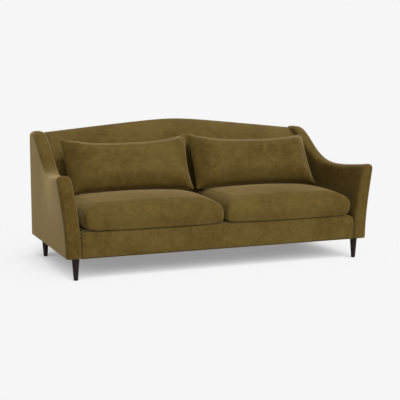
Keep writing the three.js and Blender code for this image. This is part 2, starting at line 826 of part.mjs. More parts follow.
function makeSeatCushion(side, direction) {
  const rear = seatDepth / 2;
  const tape = (length, height, front) =>
    between([-length / 2, length / 2], [front, rear + overrun], [zipLift - height / 2, zipLift + height / 2]);
  const slot = tape(zipLength, zipHeight, rear - overrun);
  const cover = cut(seatSkin(0), seatSkin(seatCoverThickness), slot);
  const strip = toSolid(tape(zipLength - 2 * fit, zipHeight - 2 * fit, rear - overrun));
  const wall = toSolid(seatSkin(fit)).subtract(toSolid(seatSkin(seatCoverThickness)));
  const pieces = {
    cover: [cover, velvet],
    foam: [seatSkin(seatCoverThickness + fit), foam],
    zip: [toGeometry(strip.intersect(wall)), zipTape],
  };
  for (const [piece, [geometry, material]] of Object.entries(pieces)) {
    const mesh = addPiece("seat_cushion_" + piece + "_" + side, geometry, material);
    const y = frontY + seatSetback + seatDepth / 2;
    mesh.position.set((direction * (seatGap + seatWidth)) / 2, y, deckHeight);
  }
}

// Loose back cushions

// One skin of a knife-edge cushion round its middle: thick in the middle, drawn in between its corners.
function looseSkin(inset) {
  const [a, b, c] = [looseWidth / 2 - inset, looseHeight / 2 - inset, looseThickness / 2 - inset];
  const spread = (i, count) => Math.sin((Math.PI / 2) * ((2 * i) / count - 1));
  const points = [];
  const index = [];
  const sheet = (sign) =>
    Array.from({ length: looseRows + 1 }, (_, row) =>
      Array.from({ length: looseColumns + 1 }, (_, column) => {
        const [s, t] = [spread(column, looseColumns), spread(row, looseRows)];
        const x = a * s * (1 - looseSidePinchShare * (1 - t * t));
        const pinchShare = t > 0 ? looseTopPinchShare : looseBottomPinchShare;
        const z = b * t * (1 - pinchShare * (1 - s * s));
        const edge = row === 0 || row === looseRows || column === 0 || column === looseColumns;
        const swell = edge ? 0 : ((1 - s ** 4) * (1 - t ** 4)) ** looseEdgePower;
        points.push(new THREE.Vector3(x, sign * c * swell, z));
        return points.length - 1;
      }),
    );
  for (const sign of [-1, 1]) {
    const rows = sheet(sign);
    for (let row = 0; row < looseRows; row++)
      for (let column = 0; column < looseColumns; column++) {
        const [p, q] = [rows[row][column], rows[row][column + 1]];
        const [r, s] = [rows[row + 1][column + 1], rows[row + 1][column]];
        const quad = sign < 0 ? [p, q, r, p, r, s] : [p, r, q, p, s, r];
        index.push(...quad);
      }
  }
  return mergeVertices(closedGeometry(points, index));
}

function makeLooseCushion(side, direction) {
  const slot = between(
    [-openingLength / 2, openingLength / 2],
    [-openingHeight / 2, openingHeight / 2],
    [-looseHeight, -looseHeight / 2 + looseHeight * looseBottomPinchShare],
  );
  const pieces = {
    cover: [cut(looseSkin(0), looseSkin(looseCoverThickness), slot), velvet],
    filling: [looseSkin(looseCoverThickness + fit), foam],
  };
  for (const [piece, [geometry, material]] of Object.entries(pieces)) {
    const mesh = addPiece("back_cushion_" + piece + "_" + side, geometry, material);
    mesh.rotation.x = -THREE.MathUtils.degToRad(looseLeanDegrees);
    const x = (direction * (looseGap + looseWidth)) / 2;
    mesh.position.set(x, footY - looseMiddleSetback, seatCrownHeight + looseMiddleRise);
  }
}

makeSeatFrame();
makeSprings();
makeBack();
makeSeatUpholstery();
makeLegs();
for (const [side, direction] of [
  ["left", -1],
  ["right", 1],
]) {
  makeArm(side, direction);
  makeSeatCushion(side, direction);
  makeLooseCushion(side, direction);
}

export default sofa;
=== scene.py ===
# Camelback sofa in olive velvet: the looks, in metres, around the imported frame.
# x runs across the front, y from the front to the back and z up from the floor.
# Left and right are as seen from the front.
import json
import math

import bmesh
import bpy
import numpy as np
from mathutils import Matrix, Vector
from mathutils.bvhtree import BVHTree


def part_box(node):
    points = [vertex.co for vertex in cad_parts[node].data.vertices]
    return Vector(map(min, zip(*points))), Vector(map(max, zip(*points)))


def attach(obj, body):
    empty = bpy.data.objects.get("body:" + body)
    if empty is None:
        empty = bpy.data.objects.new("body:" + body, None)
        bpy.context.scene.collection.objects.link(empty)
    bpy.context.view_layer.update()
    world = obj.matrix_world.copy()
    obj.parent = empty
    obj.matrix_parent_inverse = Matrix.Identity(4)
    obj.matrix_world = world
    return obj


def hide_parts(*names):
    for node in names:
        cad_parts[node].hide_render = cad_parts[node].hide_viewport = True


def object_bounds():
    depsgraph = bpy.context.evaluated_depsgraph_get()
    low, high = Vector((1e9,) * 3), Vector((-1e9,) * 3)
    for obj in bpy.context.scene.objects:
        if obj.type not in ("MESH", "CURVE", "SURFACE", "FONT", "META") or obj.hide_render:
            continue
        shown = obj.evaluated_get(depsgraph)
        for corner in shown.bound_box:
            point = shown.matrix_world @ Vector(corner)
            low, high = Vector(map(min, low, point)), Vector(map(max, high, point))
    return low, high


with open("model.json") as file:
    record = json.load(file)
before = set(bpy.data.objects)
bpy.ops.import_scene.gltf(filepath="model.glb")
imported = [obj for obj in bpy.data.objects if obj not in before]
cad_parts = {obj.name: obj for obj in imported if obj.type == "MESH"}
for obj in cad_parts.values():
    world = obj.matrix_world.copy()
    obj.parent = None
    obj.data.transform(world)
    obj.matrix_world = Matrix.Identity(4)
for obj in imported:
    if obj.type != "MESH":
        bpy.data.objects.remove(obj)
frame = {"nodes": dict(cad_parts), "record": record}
cad_box = [list(corner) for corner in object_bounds()]
scene = bpy.context.scene

# Camera and light, from the photograph
CAMERA_PLACE = (-2.1655, -5.355, 1.1242)
CAMERA_YAW = 22.22  # degrees to the right of straight ahead
CAMERA_PITCH = 7.46  # degrees down
CAMERA_LENS = 80.73  # millimetres
CAMERA_SENSOR = 36  # millimetres
BACKGROUND = 0.9239  # of white, as the photograph's background

# The outline of the arms
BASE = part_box("dust_cover")[0].z
FRONT_Y = cad_box[0][1]
REAR_Y = cad_box[1][1]
DEPTH = REAR_Y - FRONT_Y
ARM_THICKNESS = 0.080
INNER_HALF = 0.895
ARM_CENTRE = INNER_HALF + ARM_THICKNESS / 2
ARM_FRONT = 0.609
ARM_DIP = 0.584
ARM_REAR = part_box("arm_cover_right")[1].z
ARM_FLARE = 0.057
HEAD_DEPTH = 0.038
HEAD_POWER = 2.5
LEAN_POWER = 1.8
DIP_SHARE = 0.314  # of the depth: where the arm's upper edge is lowest
TOP_SHARE = 0.926  # where it has risen to its full height at the back
FLARE_END_SHARE = 0.72  # where the flare has died out
DIP_POWER = 1.3
RISE_POWER = 1.53

# The outline of the back
BACK_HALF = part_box("inside_back_cover")[1].x
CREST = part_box("inside_back_cover")[1].z
SHOULDER = CREST - 0.077
CREST_ROUND = 0.150
ROLL_DROP = 0.170
ROLL_POWER = 1.25
CREST_Y = REAR_Y - 0.030
FOOT_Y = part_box("inside_back_cover")[0].y
DECK = 0.286
RAKE = 0.072 / (SHOULDER - ROLL_DROP - DECK)  # metres back per metre up


def smooth_step(t):
    u = np.clip(t, 0, 1)
    return u * u * (3 - 2 * u)


def mix(a, b, t):
    return a + (b - a) * t


def quarter_turn(steps):
    """Angles from 0 to 90 degrees, in even steps."""
    return np.linspace(0, math.pi / 2, steps + 1)


def eased(steps):
    """Shares from 0 to 1 that lie closer together toward both ends."""
    return 0.5 - 0.5 * np.cos(np.linspace(0, math.pi, steps + 1))


def crowded(steps, crowding, turn=math.pi / 2):
    """Places from -1 to 1 that lie closer together toward both ends, more so with more crowding."""
    even = np.linspace(-1, 1, steps + 1)
    return (1 - crowding) * even + crowding * np.sin(even * turn)


# Mesh helpers


def mesh_object(name, points, faces, smooth=True):
    mesh = bpy.data.meshes.new(name)
    mesh.from_pydata([tuple(p) for p in points], [], faces)
    mesh.validate()
    obj = bpy.data.objects.new(name, mesh)
    scene.collection.objects.link(obj)
    if smooth:
        mesh.shade_smooth()
    else:
        mesh.shade_flat()
    return obj


def quads(index):
    """The faces between neighbouring rows and columns of an array of point numbers."""
    corners = [index[:-1, :-1], index[:-1, 1:], index[1:, 1:], index[1:, :-1]]
    return np.stack(corners, axis=-1).reshape(-1, 4)


def grid_object(name, rows):
    """A sheet through an array of points: rows by columns by 3."""
    rows = np.asarray(rows, float)
    count, width = rows.shape[:2]
    index = np.arange(count * width).reshape(count, width)
    return mesh_object(name, rows.reshape(-1, 3), quads(index).tolist())


def apply_modifiers(obj):
    depsgraph = bpy.context.evaluated_depsgraph_get()
    mesh = bpy.data.meshes.new_from_object(obj.evaluated_get(depsgraph))
    obj.modifiers.clear()
    obj.data = mesh


def face_outward(obj):
    shape = bmesh.new()
    shape.from_mesh(obj.data)
    bmesh.ops.recalc_face_normals(shape, faces=shape.faces)
    shape.to_mesh(obj.data)
    shape.free()
    return obj


def tube_object(name, rings, smooth=True):
    """A piece through an array of points, rings by points by 3, with both ends closed."""
    count, size = rings.shape[:2]
    faces = [tuple(range(size)), tuple(range((count - 1) * size, count * size))]
    for k in range(count - 1):
        for i in range(size):
            j = (i + 1) % size
            low, high = k * size, (k + 1) * size
            faces.append((low + i, low + j, high + j, high + i))
    return face_outward(mesh_object(name, rings.reshape(-1, 3), faces, smooth))


def turn_faces(obj):
    obj.data.flip_normals()
    return obj


def thicken(obj, thickness):
    """Gives a sheet that faces outward a thickness inward."""
    solid = obj.modifiers.new("Thickness", "SOLIDIFY")
    solid.thickness = thickness
    solid.offset = -1
    apply_modifiers(obj)


def coordinates(obj):
    """The points of a piece's mesh, as an array."""
    co = np.empty(len(obj.data.vertices) * 3)
    obj.data.vertices.foreach_get("co", co)
    return co.reshape(-1, 3)


def set_coordinates(obj, co):
    obj.data.vertices.foreach_set("co", np.asarray(co, float).ravel())
    obj.data.update()


def copied(node, ending):
    """A copy of a CAD node's mesh as a piece of its own, with its points."""
    piece = bpy.data.objects.new(node + ending, frame["nodes"][node].data.copy())
    scene.collection.objects.link(piece)
    return piece, coordinates(piece)


def dress(obj, material, body, replaced=()):
    """Puts a finished piece on its body with its material, and hides the CAD nodes that it stands for."""
    obj.data.materials.clear()
    obj.data.materials.append(material)
    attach(obj, body)
    if replaced:
        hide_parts(*replaced)


# Materials


class Nodes:
    """A material's node tree, with short calls for the nodes used here."""

    def __init__(self, name):
        self.material = bpy.data.materials.new(name)
        self.material.use_nodes = True
        self.tree = self.material.node_tree
        self.shader = self.tree.nodes["Principled BSDF"]

    def add(self, kind, inputs=None, **settings):
        node = self.tree.nodes.new(kind)
        for key, value in settings.items():
            setattr(node, key, value)
        for key, value in (inputs or {}).items():
            if isinstance(value, bpy.types.NodeSocket):
                self.tree.links.new(value, node.inputs[key])
            else:
                node.inputs[key].default_value = value
        return node

    def place(self, scale=(1, 1, 1)):
        here = self.add("ShaderNodeTexCoord").outputs["Object"]
        return self.add("ShaderNodeMapping", {"Vector": here, "Scale": scale}).outputs[0]

    def noise(self, scale, detail=2, where=None, distortion=0.0, roughness=0.5):
        inputs = {"Scale": scale, "Detail": detail, "Distortion": distortion, "Roughness": roughness}
        inputs["Vector"] = where or self.place()
        return self.add("ShaderNodeTexNoise", inputs).outputs["Fac"]

    def math(self, operation, a, b=0.0, c=0.0):
        return self.add("ShaderNodeMath", {0: a, 1: b, 2: c}, operation=operation).outputs[0]

    def spread(self, value, low, high, to_low=0.0, to_high=1.0):
        inputs = {"Value": value, "From Min": low, "From Max": high, "To Min": to_low, "To Max": to_high}
        return self.add("ShaderNodeMapRange", inputs).outputs[0]

    def blend(self, share, first, second):
        node = self.add("ShaderNodeMix", data_type="RGBA")
        for socket, value in ((node.inputs[0], share), (node.inputs[6], first), (node.inputs[7], second)):
            if isinstance(value, bpy.types.NodeSocket):
                self.tree.links.new(value, socket)
            else:
                socket.default_value = value if isinstance(value, float) else (*value, 1.0)
        return node.outputs[2]

    def colour(self, value):
        self.tree.links.new(value, self.shader.inputs["Base Color"])

    def rough(self, value):
        self.tree.links.new(value, self.shader.inputs["Roughness"])

    def bump(self, layers):
        """Bumps from (height, distance in metres, strength), one on the other."""
        normal = None
        for height, distance, strength in layers:
            inputs = {"Height": height, "Distance": distance, "Strength": strength}
            if normal:
                inputs["Normal"] = normal
            normal = self.add("ShaderNodeBump", inputs).outputs[0]
        self.tree.links.new(normal, self.shader.inputs["Normal"])

    def set(self, **values):
        for key, value in values.items():
            self.shader.inputs[key.replace("_", " ")].default_value = value


def linear(red, green, blue):
    """A colour from 0 to 255 as it shows, as the shader's linear values."""
    shares = [value / 255 for value in (red, green, blue)]
    return tuple(c / 12.92 if c <= 0.04045 else ((c + 0.055) / 1.055) ** 2.4 for c in shares)


def velvet_material():
    """Olive velvet: broad patches, brushed marks and a fine crush, over a short pile."""
    n = Nodes("Velvet")
    patches = n.noise(2.6, 3, distortion=0.5)
    brushed = n.noise(10.0, 3, distortion=0.9, roughness=0.6)
    crushed = n.noise(34.0, 3, distortion=0.6, roughness=0.6)
    pile = n.noise(1500.0, 2)
    broad = n.math("MULTIPLY_ADD", patches, 0.35, n.math("MULTIPLY", brushed, 0.33))
    tone = n.math("MULTIPLY_ADD", crushed, 0.32, broad)
    base = n.blend(n.spread(tone, 0.39, 0.61), linear(93, 73, 30), linear(118, 99, 50))
    n.colour(n.blend(n.spread(pile, 0.3, 0.7, 0.0, 0.35), base, linear(80, 62, 26)))
    n.rough(n.spread(brushed, 0.3, 0.7, 0.62, 0.76))
    n.bump([(brushed, 0.003, 0.25), (crushed, 0.0012, 0.3), (pile, 0.0004, 0.35)])
    n.set(Specular_IOR_Level=0.06, Sheen_Weight=0.76, Sheen_Roughness=0.32)
    n.set(Sheen_Tint=(1.0, 0.75, 0.36, 1.0))
    return n.material


def dark_wood_material():
    """Nearly black wood with an upright grain, lightly lacquered."""
    n = Nodes("Dark_wood")
    along = n.place((1.0, 1.0, 0.06))
    grain = n.noise(160.0, 5, along, distortion=1.2, roughness=0.65)
    pores = n.noise(900.0, 2, along)
    n.colour(n.blend(n.spread(grain, 0.35, 0.7), linear(26, 13, 15), linear(43, 26, 28)))
    n.rough(n.spread(grain, 0.3, 0.7, 0.34, 0.46))
    n.bump([(pores, 0.0003, 0.3)])
    n.set(Specular_IOR_Level=0.16, Coat_Weight=0.02, Coat_Roughness=0.3)
    return n.material


def timber_material():
    """Pale, unfinished timber with its grain along x."""
    n = Nodes("Frame_timber")
    along = n.place((0.12, 1.0, 1.0))
    grain = n.noise(60.0, 5, along, distortion=1.5, roughness=0.6)
    rings = n.noise(9.0, 2, along, distortion=2.0)
    base = n.blend(n.spread(rings, 0.35, 0.65), linear(205, 172, 122), linear(186, 148, 98))
    n.colour(n.blend(n.spread(grain, 0.45, 0.75, 0.0, 0.6), base, linear(150, 112, 70)))
    n.rough(n.spread(grain, 0.3, 0.7, 0.6, 0.75))
    n.bump([(grain, 0.0006, 0.4)])
    return n.material


def steel_material():
    """Dull steel with darker scale."""
    n = Nodes("Spring_steel")
    scale = n.noise(220.0, 4)
    n.colour(n.blend(n.spread(scale, 0.4, 0.7), linear(128, 130, 134), linear(92, 92, 96)))
    n.rough(n.spread(scale, 0.3, 0.7, 0.3, 0.5))
    n.set(Metallic=1.0)
    return n.material


def foam_material():
    """Cream foam with fine open cells."""
    n = Nodes("Foam")
    cells = n.noise(700.0, 3)
    n.colour(n.blend(n.spread(cells, 0.35, 0.65), linear(232, 221, 188), linear(212, 198, 158)))
    n.rough(n.spread(cells, 0.3, 0.7, 0.85, 0.95))
    n.bump([(cells, 0.001, 0.6)])
    return n.material


def woven_material(name, dark, light, pitch):
    """A plain weave of bands along x and z, with its threads a pitch apart."""
    n = Nodes(name)
    where = n.place()
    axes = n.add("ShaderNodeSeparateXYZ", {0: where}).outputs
    turns = 2 * math.pi / pitch
    warp = n.math("SINE", n.math("MULTIPLY", axes[0], turns))
    weft = n.math("SINE", n.math("MULTIPLY", axes[2], turns))
    weave = n.spread(n.math("MULTIPLY", warp, weft), -1.0, 1.0)
    worn = n.noise(40.0, 3)
    n.colour(n.blend(n.math("MULTIPLY", weave, worn), dark, light))
    n.rough(n.spread(worn, 0.3, 0.7, 0.8, 0.92))
    n.bump([(weave, 0.0008, 0.6)])
    return n.material


def lining_material():
    """Thin black bottom cloth with its fibres along y."""
    n = Nodes("Bottom_cloth")
    fibres = n.noise(500.0, 4, n.place((1.0, 0.25, 1.0)), distortion=1.0)
    n.colour(n.blend(n.spread(fibres, 0.3, 0.7), linear(24, 24, 25), linear(46, 46, 47)))
    n.rough(n.spread(fibres, 0.3, 0.7, 0.85, 0.95))
    n.bump([(fibres, 0.0005, 0.4)])
    return n.material


velvet = velvet_material()
dark_wood = dark_wood_material()
timber = timber_material()
steel = steel_material()
foam = foam_material()
webbing = woven_material("Back_webbing", linear(38, 35, 31), linear(84, 78, 68), 0.0035)
zip_tape = woven_material("Zip_tape", linear(66, 53, 25), linear(92, 76, 38), 0.0012)
lining = lining_material()

SLOT_MATERIALS = {
    "velvet": velvet,
    "dark_wood": dark_wood,
    "timber": timber,
    "steel": steel,
    "foam": foam,
    "webbing": webbing,
    "zip_tape": zip_tape,
    "lining": lining,
}
for part in frame["record"]["subparts"]:
    node = frame["nodes"][part["node"]]
    node.data.materials.clear()
    node.data.materials.append(SLOT_MATERIALS[part["material_slot"]])

# Arms

SIDE_STEPS = 40
HEAD_STEPS = 28
ARM_STEP = 0.012  # between the places along y
EDGE_STEPS = 6
COVER_THICKNESS = 0.0012
ARM_FRONT_ROUND = 0.022
ARM_REAR_ROUND = 0.010
HEM_ROUND = 0.004
HEM_WIDTH = 0.022
HEM_STEPS = 3
HEM_BOTTOM = BASE + 0.0006
TUCK = 0.002  # how far a cover's edge goes back into a seam
ARM_FULL = 0.007  # how much fuller than the frame the outer side is
SEAM = 0.0008


def arm_ridge(share):
    """Height of the arm's upper edge, at a share of the depth from the front."""
    fall = max(1 - share / DIP_SHARE, 0) ** DIP_POWER
    climb = min(max((share - DIP_SHARE) / (TOP_SHARE - DIP_SHARE), 0), 1)
    return ARM_DIP + (ARM_FRONT - ARM_DIP) * fall + (ARM_REAR - ARM_DIP) * smooth_step(climb**RISE_POWER)


def arm_lean(share, z):
    """How far the arm flares outward, at a share of the depth and a height."""
    flare = ARM_FLARE * (1 - smooth_step(share / FLARE_END_SHARE))
    height = np.maximum((z - BASE) / (arm_ridge(share) - BASE), 0)
    return flare * height**LEAN_POWER


def arm_outline(y, inset, floor):
    """Points (x, z) of the right arm, from the inner foot over the head to the outer foot."""
    share = min(max((y - FRONT_Y) / DEPTH, 0), 1)
    springing = arm_ridge(share) - HEAD_DEPTH
    side = np.linspace(floor, springing, SIDE_STEPS, endpoint=False)
    angle = np.linspace(math.pi, 0, HEAD_STEPS + 1)
    across = np.sign(np.cos(angle)) * np.abs(np.cos(angle)) ** (2 / HEAD_POWER)
    rise = np.maximum(np.sin(angle), 0) ** (2 / HEAD_POWER)
    z = np.concatenate([side, springing + (HEAD_DEPTH - inset) * rise, side[::-1]])
    out = np.concatenate([-np.ones(SIDE_STEPS), across, np.ones(SIDE_STEPS)])
    rise = np.clip((z - BASE) / (arm_ridge(share) - BASE), 0, 1)
    full = ARM_FULL * np.maximum(out, 0) * (1 - (1 - share) * rise**4)
    x = ARM_CENTRE + arm_lean(share, z) + (ARM_THICKNESS / 2 - inset) * out + full
    return np.stack([x, z], axis=1)


def with_hem(outline, bottom):
    """Adds the rounded edge at both feet of an outline, and the strip turned under the frame."""
    turn = quarter_turn(HEM_STEPS)[1:]
    ends = []
    for foot, inward in ((outline[0], 1), (outline[-1], -1)):
        x = foot[0] + inward * HEM_ROUND * (1 - np.cos(turn))
        z = bottom + HEM_ROUND * (1 - np.sin(turn))
        strip = np.array([[x[-1] + inward * HEM_WIDTH, bottom]])
        ends.append(np.concatenate([np.stack([x, z], axis=1), strip]))
    return np.concatenate([ends[0][::-1], outline, ends[1]])


def rounded_run(start, end, first_round, last_round, step):
    """Places from start to end with the inset that rounds off both ends."""
    turn = quarter_turn(EDGE_STEPS - 1)
    first = [(start + first_round * (1 - math.cos(a)), first_round * (1 - math.sin(a))) for a in turn]
    last = [(end - last_round * (1 - math.cos(a)), last_round * (1 - math.sin(a))) for a in turn]
    inner_start, inner_end = start + first_round, end - last_round
    count = max(int((inner_end - inner_start) / step), 1)
    middle = [(mix(inner_start, inner_end, i / count), 0.0) for i in range(1, count)]
    return first + middle + last[::-1]


def arm_cover_points():
    run = rounded_run(FRONT_Y, REAR_Y, ARM_FRONT_ROUND, ARM_REAR_ROUND, ARM_STEP)
    run.insert(0, (FRONT_Y + TUCK, ARM_FRONT_ROUND + SEAM))
    run.append((REAR_Y - TUCK, ARM_REAR_ROUND + SEAM))
    rows = []
    for y, inset in run:
        outline = with_hem(arm_outline(y, inset, HEM_BOTTOM + HEM_ROUND), HEM_BOTTOM)
        rows.append(np.stack([outline[:, 0], np.full(len(outline), y), outline[:, 1]], axis=1))
    return np.array(rows)


FACING_STEPS = 14
FACING_CROWN = 0.0012
FACING_CROWN_WIDTH = 0.03
FACING_EDGE = 0.002


def panel_height(distance):
    """How far a sewn-in panel stands out of its seam at a distance from its edge."""
    edge = np.clip(distance / FACING_EDGE, 0, 1)
    swell = np.clip(distance / FACING_CROWN_WIDTH, 0, 1)
    return -TUCK + TUCK * np.sqrt(1 - (1 - edge) ** 2) + FACING_CROWN * np.sin(swell * math.pi / 2)


def edge_distance(points, border):
    """The distance from each point to the nearest spot of a border line."""
    gaps = points[:, None, :] - border[None, :-1, :]
    runs = border[None, 1:, :] - border[None, :-1, :]
    along = np.clip((gaps * runs).sum(2) / np.maximum((runs * runs).sum(2), 1e-12), 0, 1)
    return np.sqrt(((gaps - along[:, :, None] * runs) ** 2).sum(2)).min(1)


def arm_facing_points():
    """The panel on the arm's front end, as rungs across the arm from the foot to the head."""
    outline = arm_outline(FRONT_Y, ARM_FRONT_ROUND + SEAM, HEM_BOTTOM)
    half = len(outline) // 2
    across = eased(FACING_STEPS)
    rungs = np.array([[mix(outline[i], outline[-1 - i], t) for t in across] for i in range(half)])
    flat = rungs.reshape(-1, 2)
    height = panel_height(edge_distance(flat, outline))
    points = np.stack([flat[:, 0], FRONT_Y - height, flat[:, 1]], axis=1)
    return points.reshape(half, FACING_STEPS + 1, 3)


ARM_RAIL_INSET = 0.0023
ARM_RAIL_EDGE = 0.006
ARM_RAIL_EDGE_STEPS = 3
ARM_RAIL_STEPS = 8  # at each end
TOP_RAIL_DROP = 0.0185
TOP_RAIL_DROP_SPAN = (0.4, 0.9)  # shares of the depth


def arm_rail_points(low, high):
    """The arm's bottom rail, as rings along the arm, with its corners rounded to lie inside the cover."""
    rings = []
    front_end = np.linspace(low.y, FRONT_Y + ARM_FRONT_ROUND, ARM_RAIL_STEPS)
    rear_end = np.linspace(REAR_Y - ARM_REAR_ROUND, high.y, ARM_RAIL_STEPS)
    turn = quarter_turn(ARM_RAIL_EDGE_STEPS)
    for y in (*front_end, *rear_end):
        share = (y - FRONT_Y) / DEPTH
        from_end = min(y - FRONT_Y, REAR_Y - y, ARM_FRONT_ROUND)
        reach = (ARM_FRONT_ROUND - ARM_RAIL_INSET) ** 2 - (ARM_FRONT_ROUND - from_end) ** 2
        half = ARM_THICKNESS / 2 - ARM_FRONT_ROUND + math.sqrt(max(reach, 0))
        across = half - ARM_RAIL_EDGE * (1 - np.sin(turn))
        up = low.z + ARM_RAIL_EDGE * (1 - np.cos(turn))
        side = [*zip(across, up), (half, (low.z + ARM_RAIL_EDGE + high.z) / 2), (half, high.z)]
        ring = [(ARM_CENTRE + arm_lean(share, z) - x, y, z) for x, z in side[::-1]]
        ring += [(ARM_CENTRE + arm_lean(share, z) + x, y, z) for x, z in side]
        rings.append(ring)
    return np.array(rings)


def make_arm_rail(side, direction):
    node = "arm_bottom_rail_" + side
    rings = arm_rail_points(*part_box("arm_bottom_rail_right")) * [direction, 1, 1]
    dress(tube_object(node + "_rounded", rings, False), timber, "frame", [node])


def make_arm_top_rail(side):
    """The arm's curved top rail, a little lower than in the solid where the cover sweeps up."""
    rail, co = copied("arm_top_rail_" + side, "_sunk")
    first, last = TOP_RAIL_DROP_SPAN
    along = np.clip(((co[:, 1] - FRONT_Y) / DEPTH - first) / (last - first), 0, 1)
    co[:, 2] -= TOP_RAIL_DROP * np.sin(math.pi * along)
    set_coordinates(rail, co)
    dress(rail, timber, "frame", ["arm_top_rail_" + side])


def make_arm(side, direction):
    cover = grid_object("arm_upholstery_" + side, arm_cover_points() * [direction, 1, 1])
    facing = grid_object("arm_front_panel_" + side, arm_facing_points() * [direction, 1, 1])
    if direction > 0:
        turn_faces(cover)
        turn_faces(facing)
    thicken(cover, COVER_THICKNESS)
    thicken(facing, COVER_THICKNESS)
    nodes = ["arm_cover_" + side, "arm_foam_" + side]
    dress(cover, velvet, "frame", nodes)
    dress(facing, velvet, "frame", ["arm_front_facing_" + side])


# Inside and outside back

BACK_STEP = 0.012  # between the places along x
BACK_END_ROUND = 0.010
BACK_TUCK = 0.02  # how far the inside back goes down past the deck
RAKE_STEPS = 24
ROLL_STEPS = 36
CREST_STEPS = 8
REAR_TURN = 0.018


def crest(x):
    """Height of the back's upper edge."""
    slope = (SHOULDER - CREST) / (math.hypot(INNER_HALF, CREST_ROUND) - CREST_ROUND)
    return CREST + slope * (np.hypot(x, CREST_ROUND) - CREST_ROUND)


def rake_y(z):
    """Where the straight part of the inside back lies at a height."""
    return FOOT_Y + RAKE * (z - DECK)


def back_profile(x, inset):
    """Points (y, z) up the inside back, over the crest and down to the seam at the rear."""
    roll_foot = crest(x) - ROLL_DROP
    z = np.linspace(DECK - BACK_TUCK, roll_foot, RAKE_STEPS, endpoint=False)
    lower = np.stack([np.maximum(rake_y(z), FOOT_Y) + inset, z], axis=1)
    reach = CREST_Y - rake_y(roll_foot) - inset
    angle = quarter_turn(ROLL_STEPS)
    across = np.maximum(np.cos(angle), 0) ** (2 / ROLL_POWER)
    rise = np.sin(angle) ** (2 / ROLL_POWER)
    roll = np.stack([CREST_Y - reach * across, roll_foot + (ROLL_DROP - inset) * rise], axis=1)
    turn = quarter_turn(CREST_STEPS)[1:]
    run = REAR_Y - CREST_Y - inset
    drop = REAR_TURN * (1 - np.cos(turn))
    rear = np.stack([CREST_Y + run * np.sin(turn), crest(x) - inset - drop], axis=1)
    tuck = rear[-1] - [TUCK, SEAM]
    return np.concatenate([lower, roll, rear, [tuck]])


def make_inside_back():
    rows = []
    for x, inset in rounded_run(-BACK_HALF, BACK_HALF, BACK_END_ROUND, BACK_END_ROUND, BACK_STEP):
        profile = back_profile(x, inset)
        rows.append(np.stack([np.full(len(profile), x), profile[:, 0], profile[:, 1]], axis=1))
    cover = turn_faces(grid_object("inside_back_upholstery", np.array(rows)))
    thicken(cover, COVER_THICKNESS)
    dress(cover, velvet, "frame", ["inside_back_cover", "back_foam"])


OUTSIDE_COLUMNS = 160
OUTSIDE_ROWS = 40
OUTSIDE_CROWDING = 0.5
OUTSIDE_TURN = 0.999 * math.pi / 2  # ends just short of the arms' edges
OUTSIDE_HALF = ARM_CENTRE + ARM_THICKNESS / 2 + ARM_FULL - ARM_REAR_ROUND - SEAM


def outside_top(x):
    """Height of the outside back's upper edge: under the crest, and under the arms' heads at the ends."""
    under_crest = crest(x) - REAR_TURN - SEAM
    half = ARM_THICKNESS / 2 - ARM_REAR_ROUND - SEAM
    reach = np.where(np.abs(x) > ARM_CENTRE, half + ARM_FULL, half)
    across = np.clip(np.abs(np.abs(x) - ARM_CENTRE) / reach, 0, 1)
    depth = HEAD_DEPTH - ARM_REAR_ROUND - SEAM
    under_head = ARM_REAR - HEAD_DEPTH + depth * (1 - across**HEAD_POWER) ** (1 / HEAD_POWER)
    return np.where(np.abs(x) < BACK_HALF, under_crest, under_head)


def make_outside_back():
    x = OUTSIDE_HALF * crowded(OUTSIDE_COLUMNS, OUTSIDE_CROWDING, OUTSIDE_TURN)
    top = outside_top(x)
    share = eased(OUTSIDE_ROWS)
    flat = np.array([[(a, mix(HEM_BOTTOM, t, s)) for s in share] for a, t in zip(x, top)]).reshape(-1, 2)
    first, last = (x[0], HEM_BOTTOM), (x[-1], HEM_BOTTOM)
    border = np.concatenate([[first], np.stack([x, top], axis=1), [last, first]])
    height = panel_height(edge_distance(flat, border))
    points = np.stack([flat[:, 0], REAR_Y + height, flat[:, 1]], axis=1)
    cover = grid_object("outside_back_panel", points.reshape(OUTSIDE_COLUMNS + 1, OUTSIDE_ROWS + 1, 3))
    thicken(cover, COVER_THICKNESS)
    dress(cover, velvet, "frame", ["outside_back_cover"])


# Front rail, deck and underside

RAIL_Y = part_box("front_rail_cover")[0].y + 0.005
RAIL_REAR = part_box("front_rail_cover")[1].y
RAIL_REAR_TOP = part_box("front_rail_cover")[1].z
RAIL_TOP = RAIL_REAR_TOP - 0.006
RAIL_TOP_ROUND = 0.005
RAIL_END_ROUND = 0.0045
RAIL_CROWN = 0.002
RAIL_CORNER = (0.044, 0.036)
RAIL_COLUMNS = 200
RAIL_CROWDING = 0.35
RAIL_FACE_STEPS = 21
RAIL_TOP_STEPS = (0.3, 0.6, 1.0)  # shares of the way back over the top
RAIL_GAP = 0.002
RAIL_END_DEPTH = 0.035
RAIL_TIMBER_INSET = 0.004
RAIL_HEM = HEM_BOTTOM - 0.0055  # its lower edge hangs a little below the arms'


def rail_profile(top):
    """Points (forward, z) of the rail's cover: from under the frame, up the face and back over the top."""
    turn = quarter_turn(EDGE_STEPS)
    foot, head = RAIL_HEM + HEM_ROUND, top - RAIL_TOP_ROUND
    points = [(-HEM_WIDTH, HEM_BOTTOM)]
    points += [(-HEM_ROUND * (1 - math.sin(a)), foot - HEM_ROUND * math.cos(a)) for a in turn]
    for t in np.linspace(0, 1, RAIL_FACE_STEPS + 1)[1:-1]:
        points.append((RAIL_CROWN * math.sin(math.pi * t), mix(foot, head, t)))
    points += [(-RAIL_TOP_ROUND * (1 - math.cos(a)), head + RAIL_TOP_ROUND * math.sin(a)) for a in turn]
    for t in RAIL_TOP_STEPS:
        points.append((-mix(RAIL_TOP_ROUND, RAIL_REAR - RAIL_Y, t), top + (RAIL_REAR_TOP - RAIL_TOP) * t))
    return points


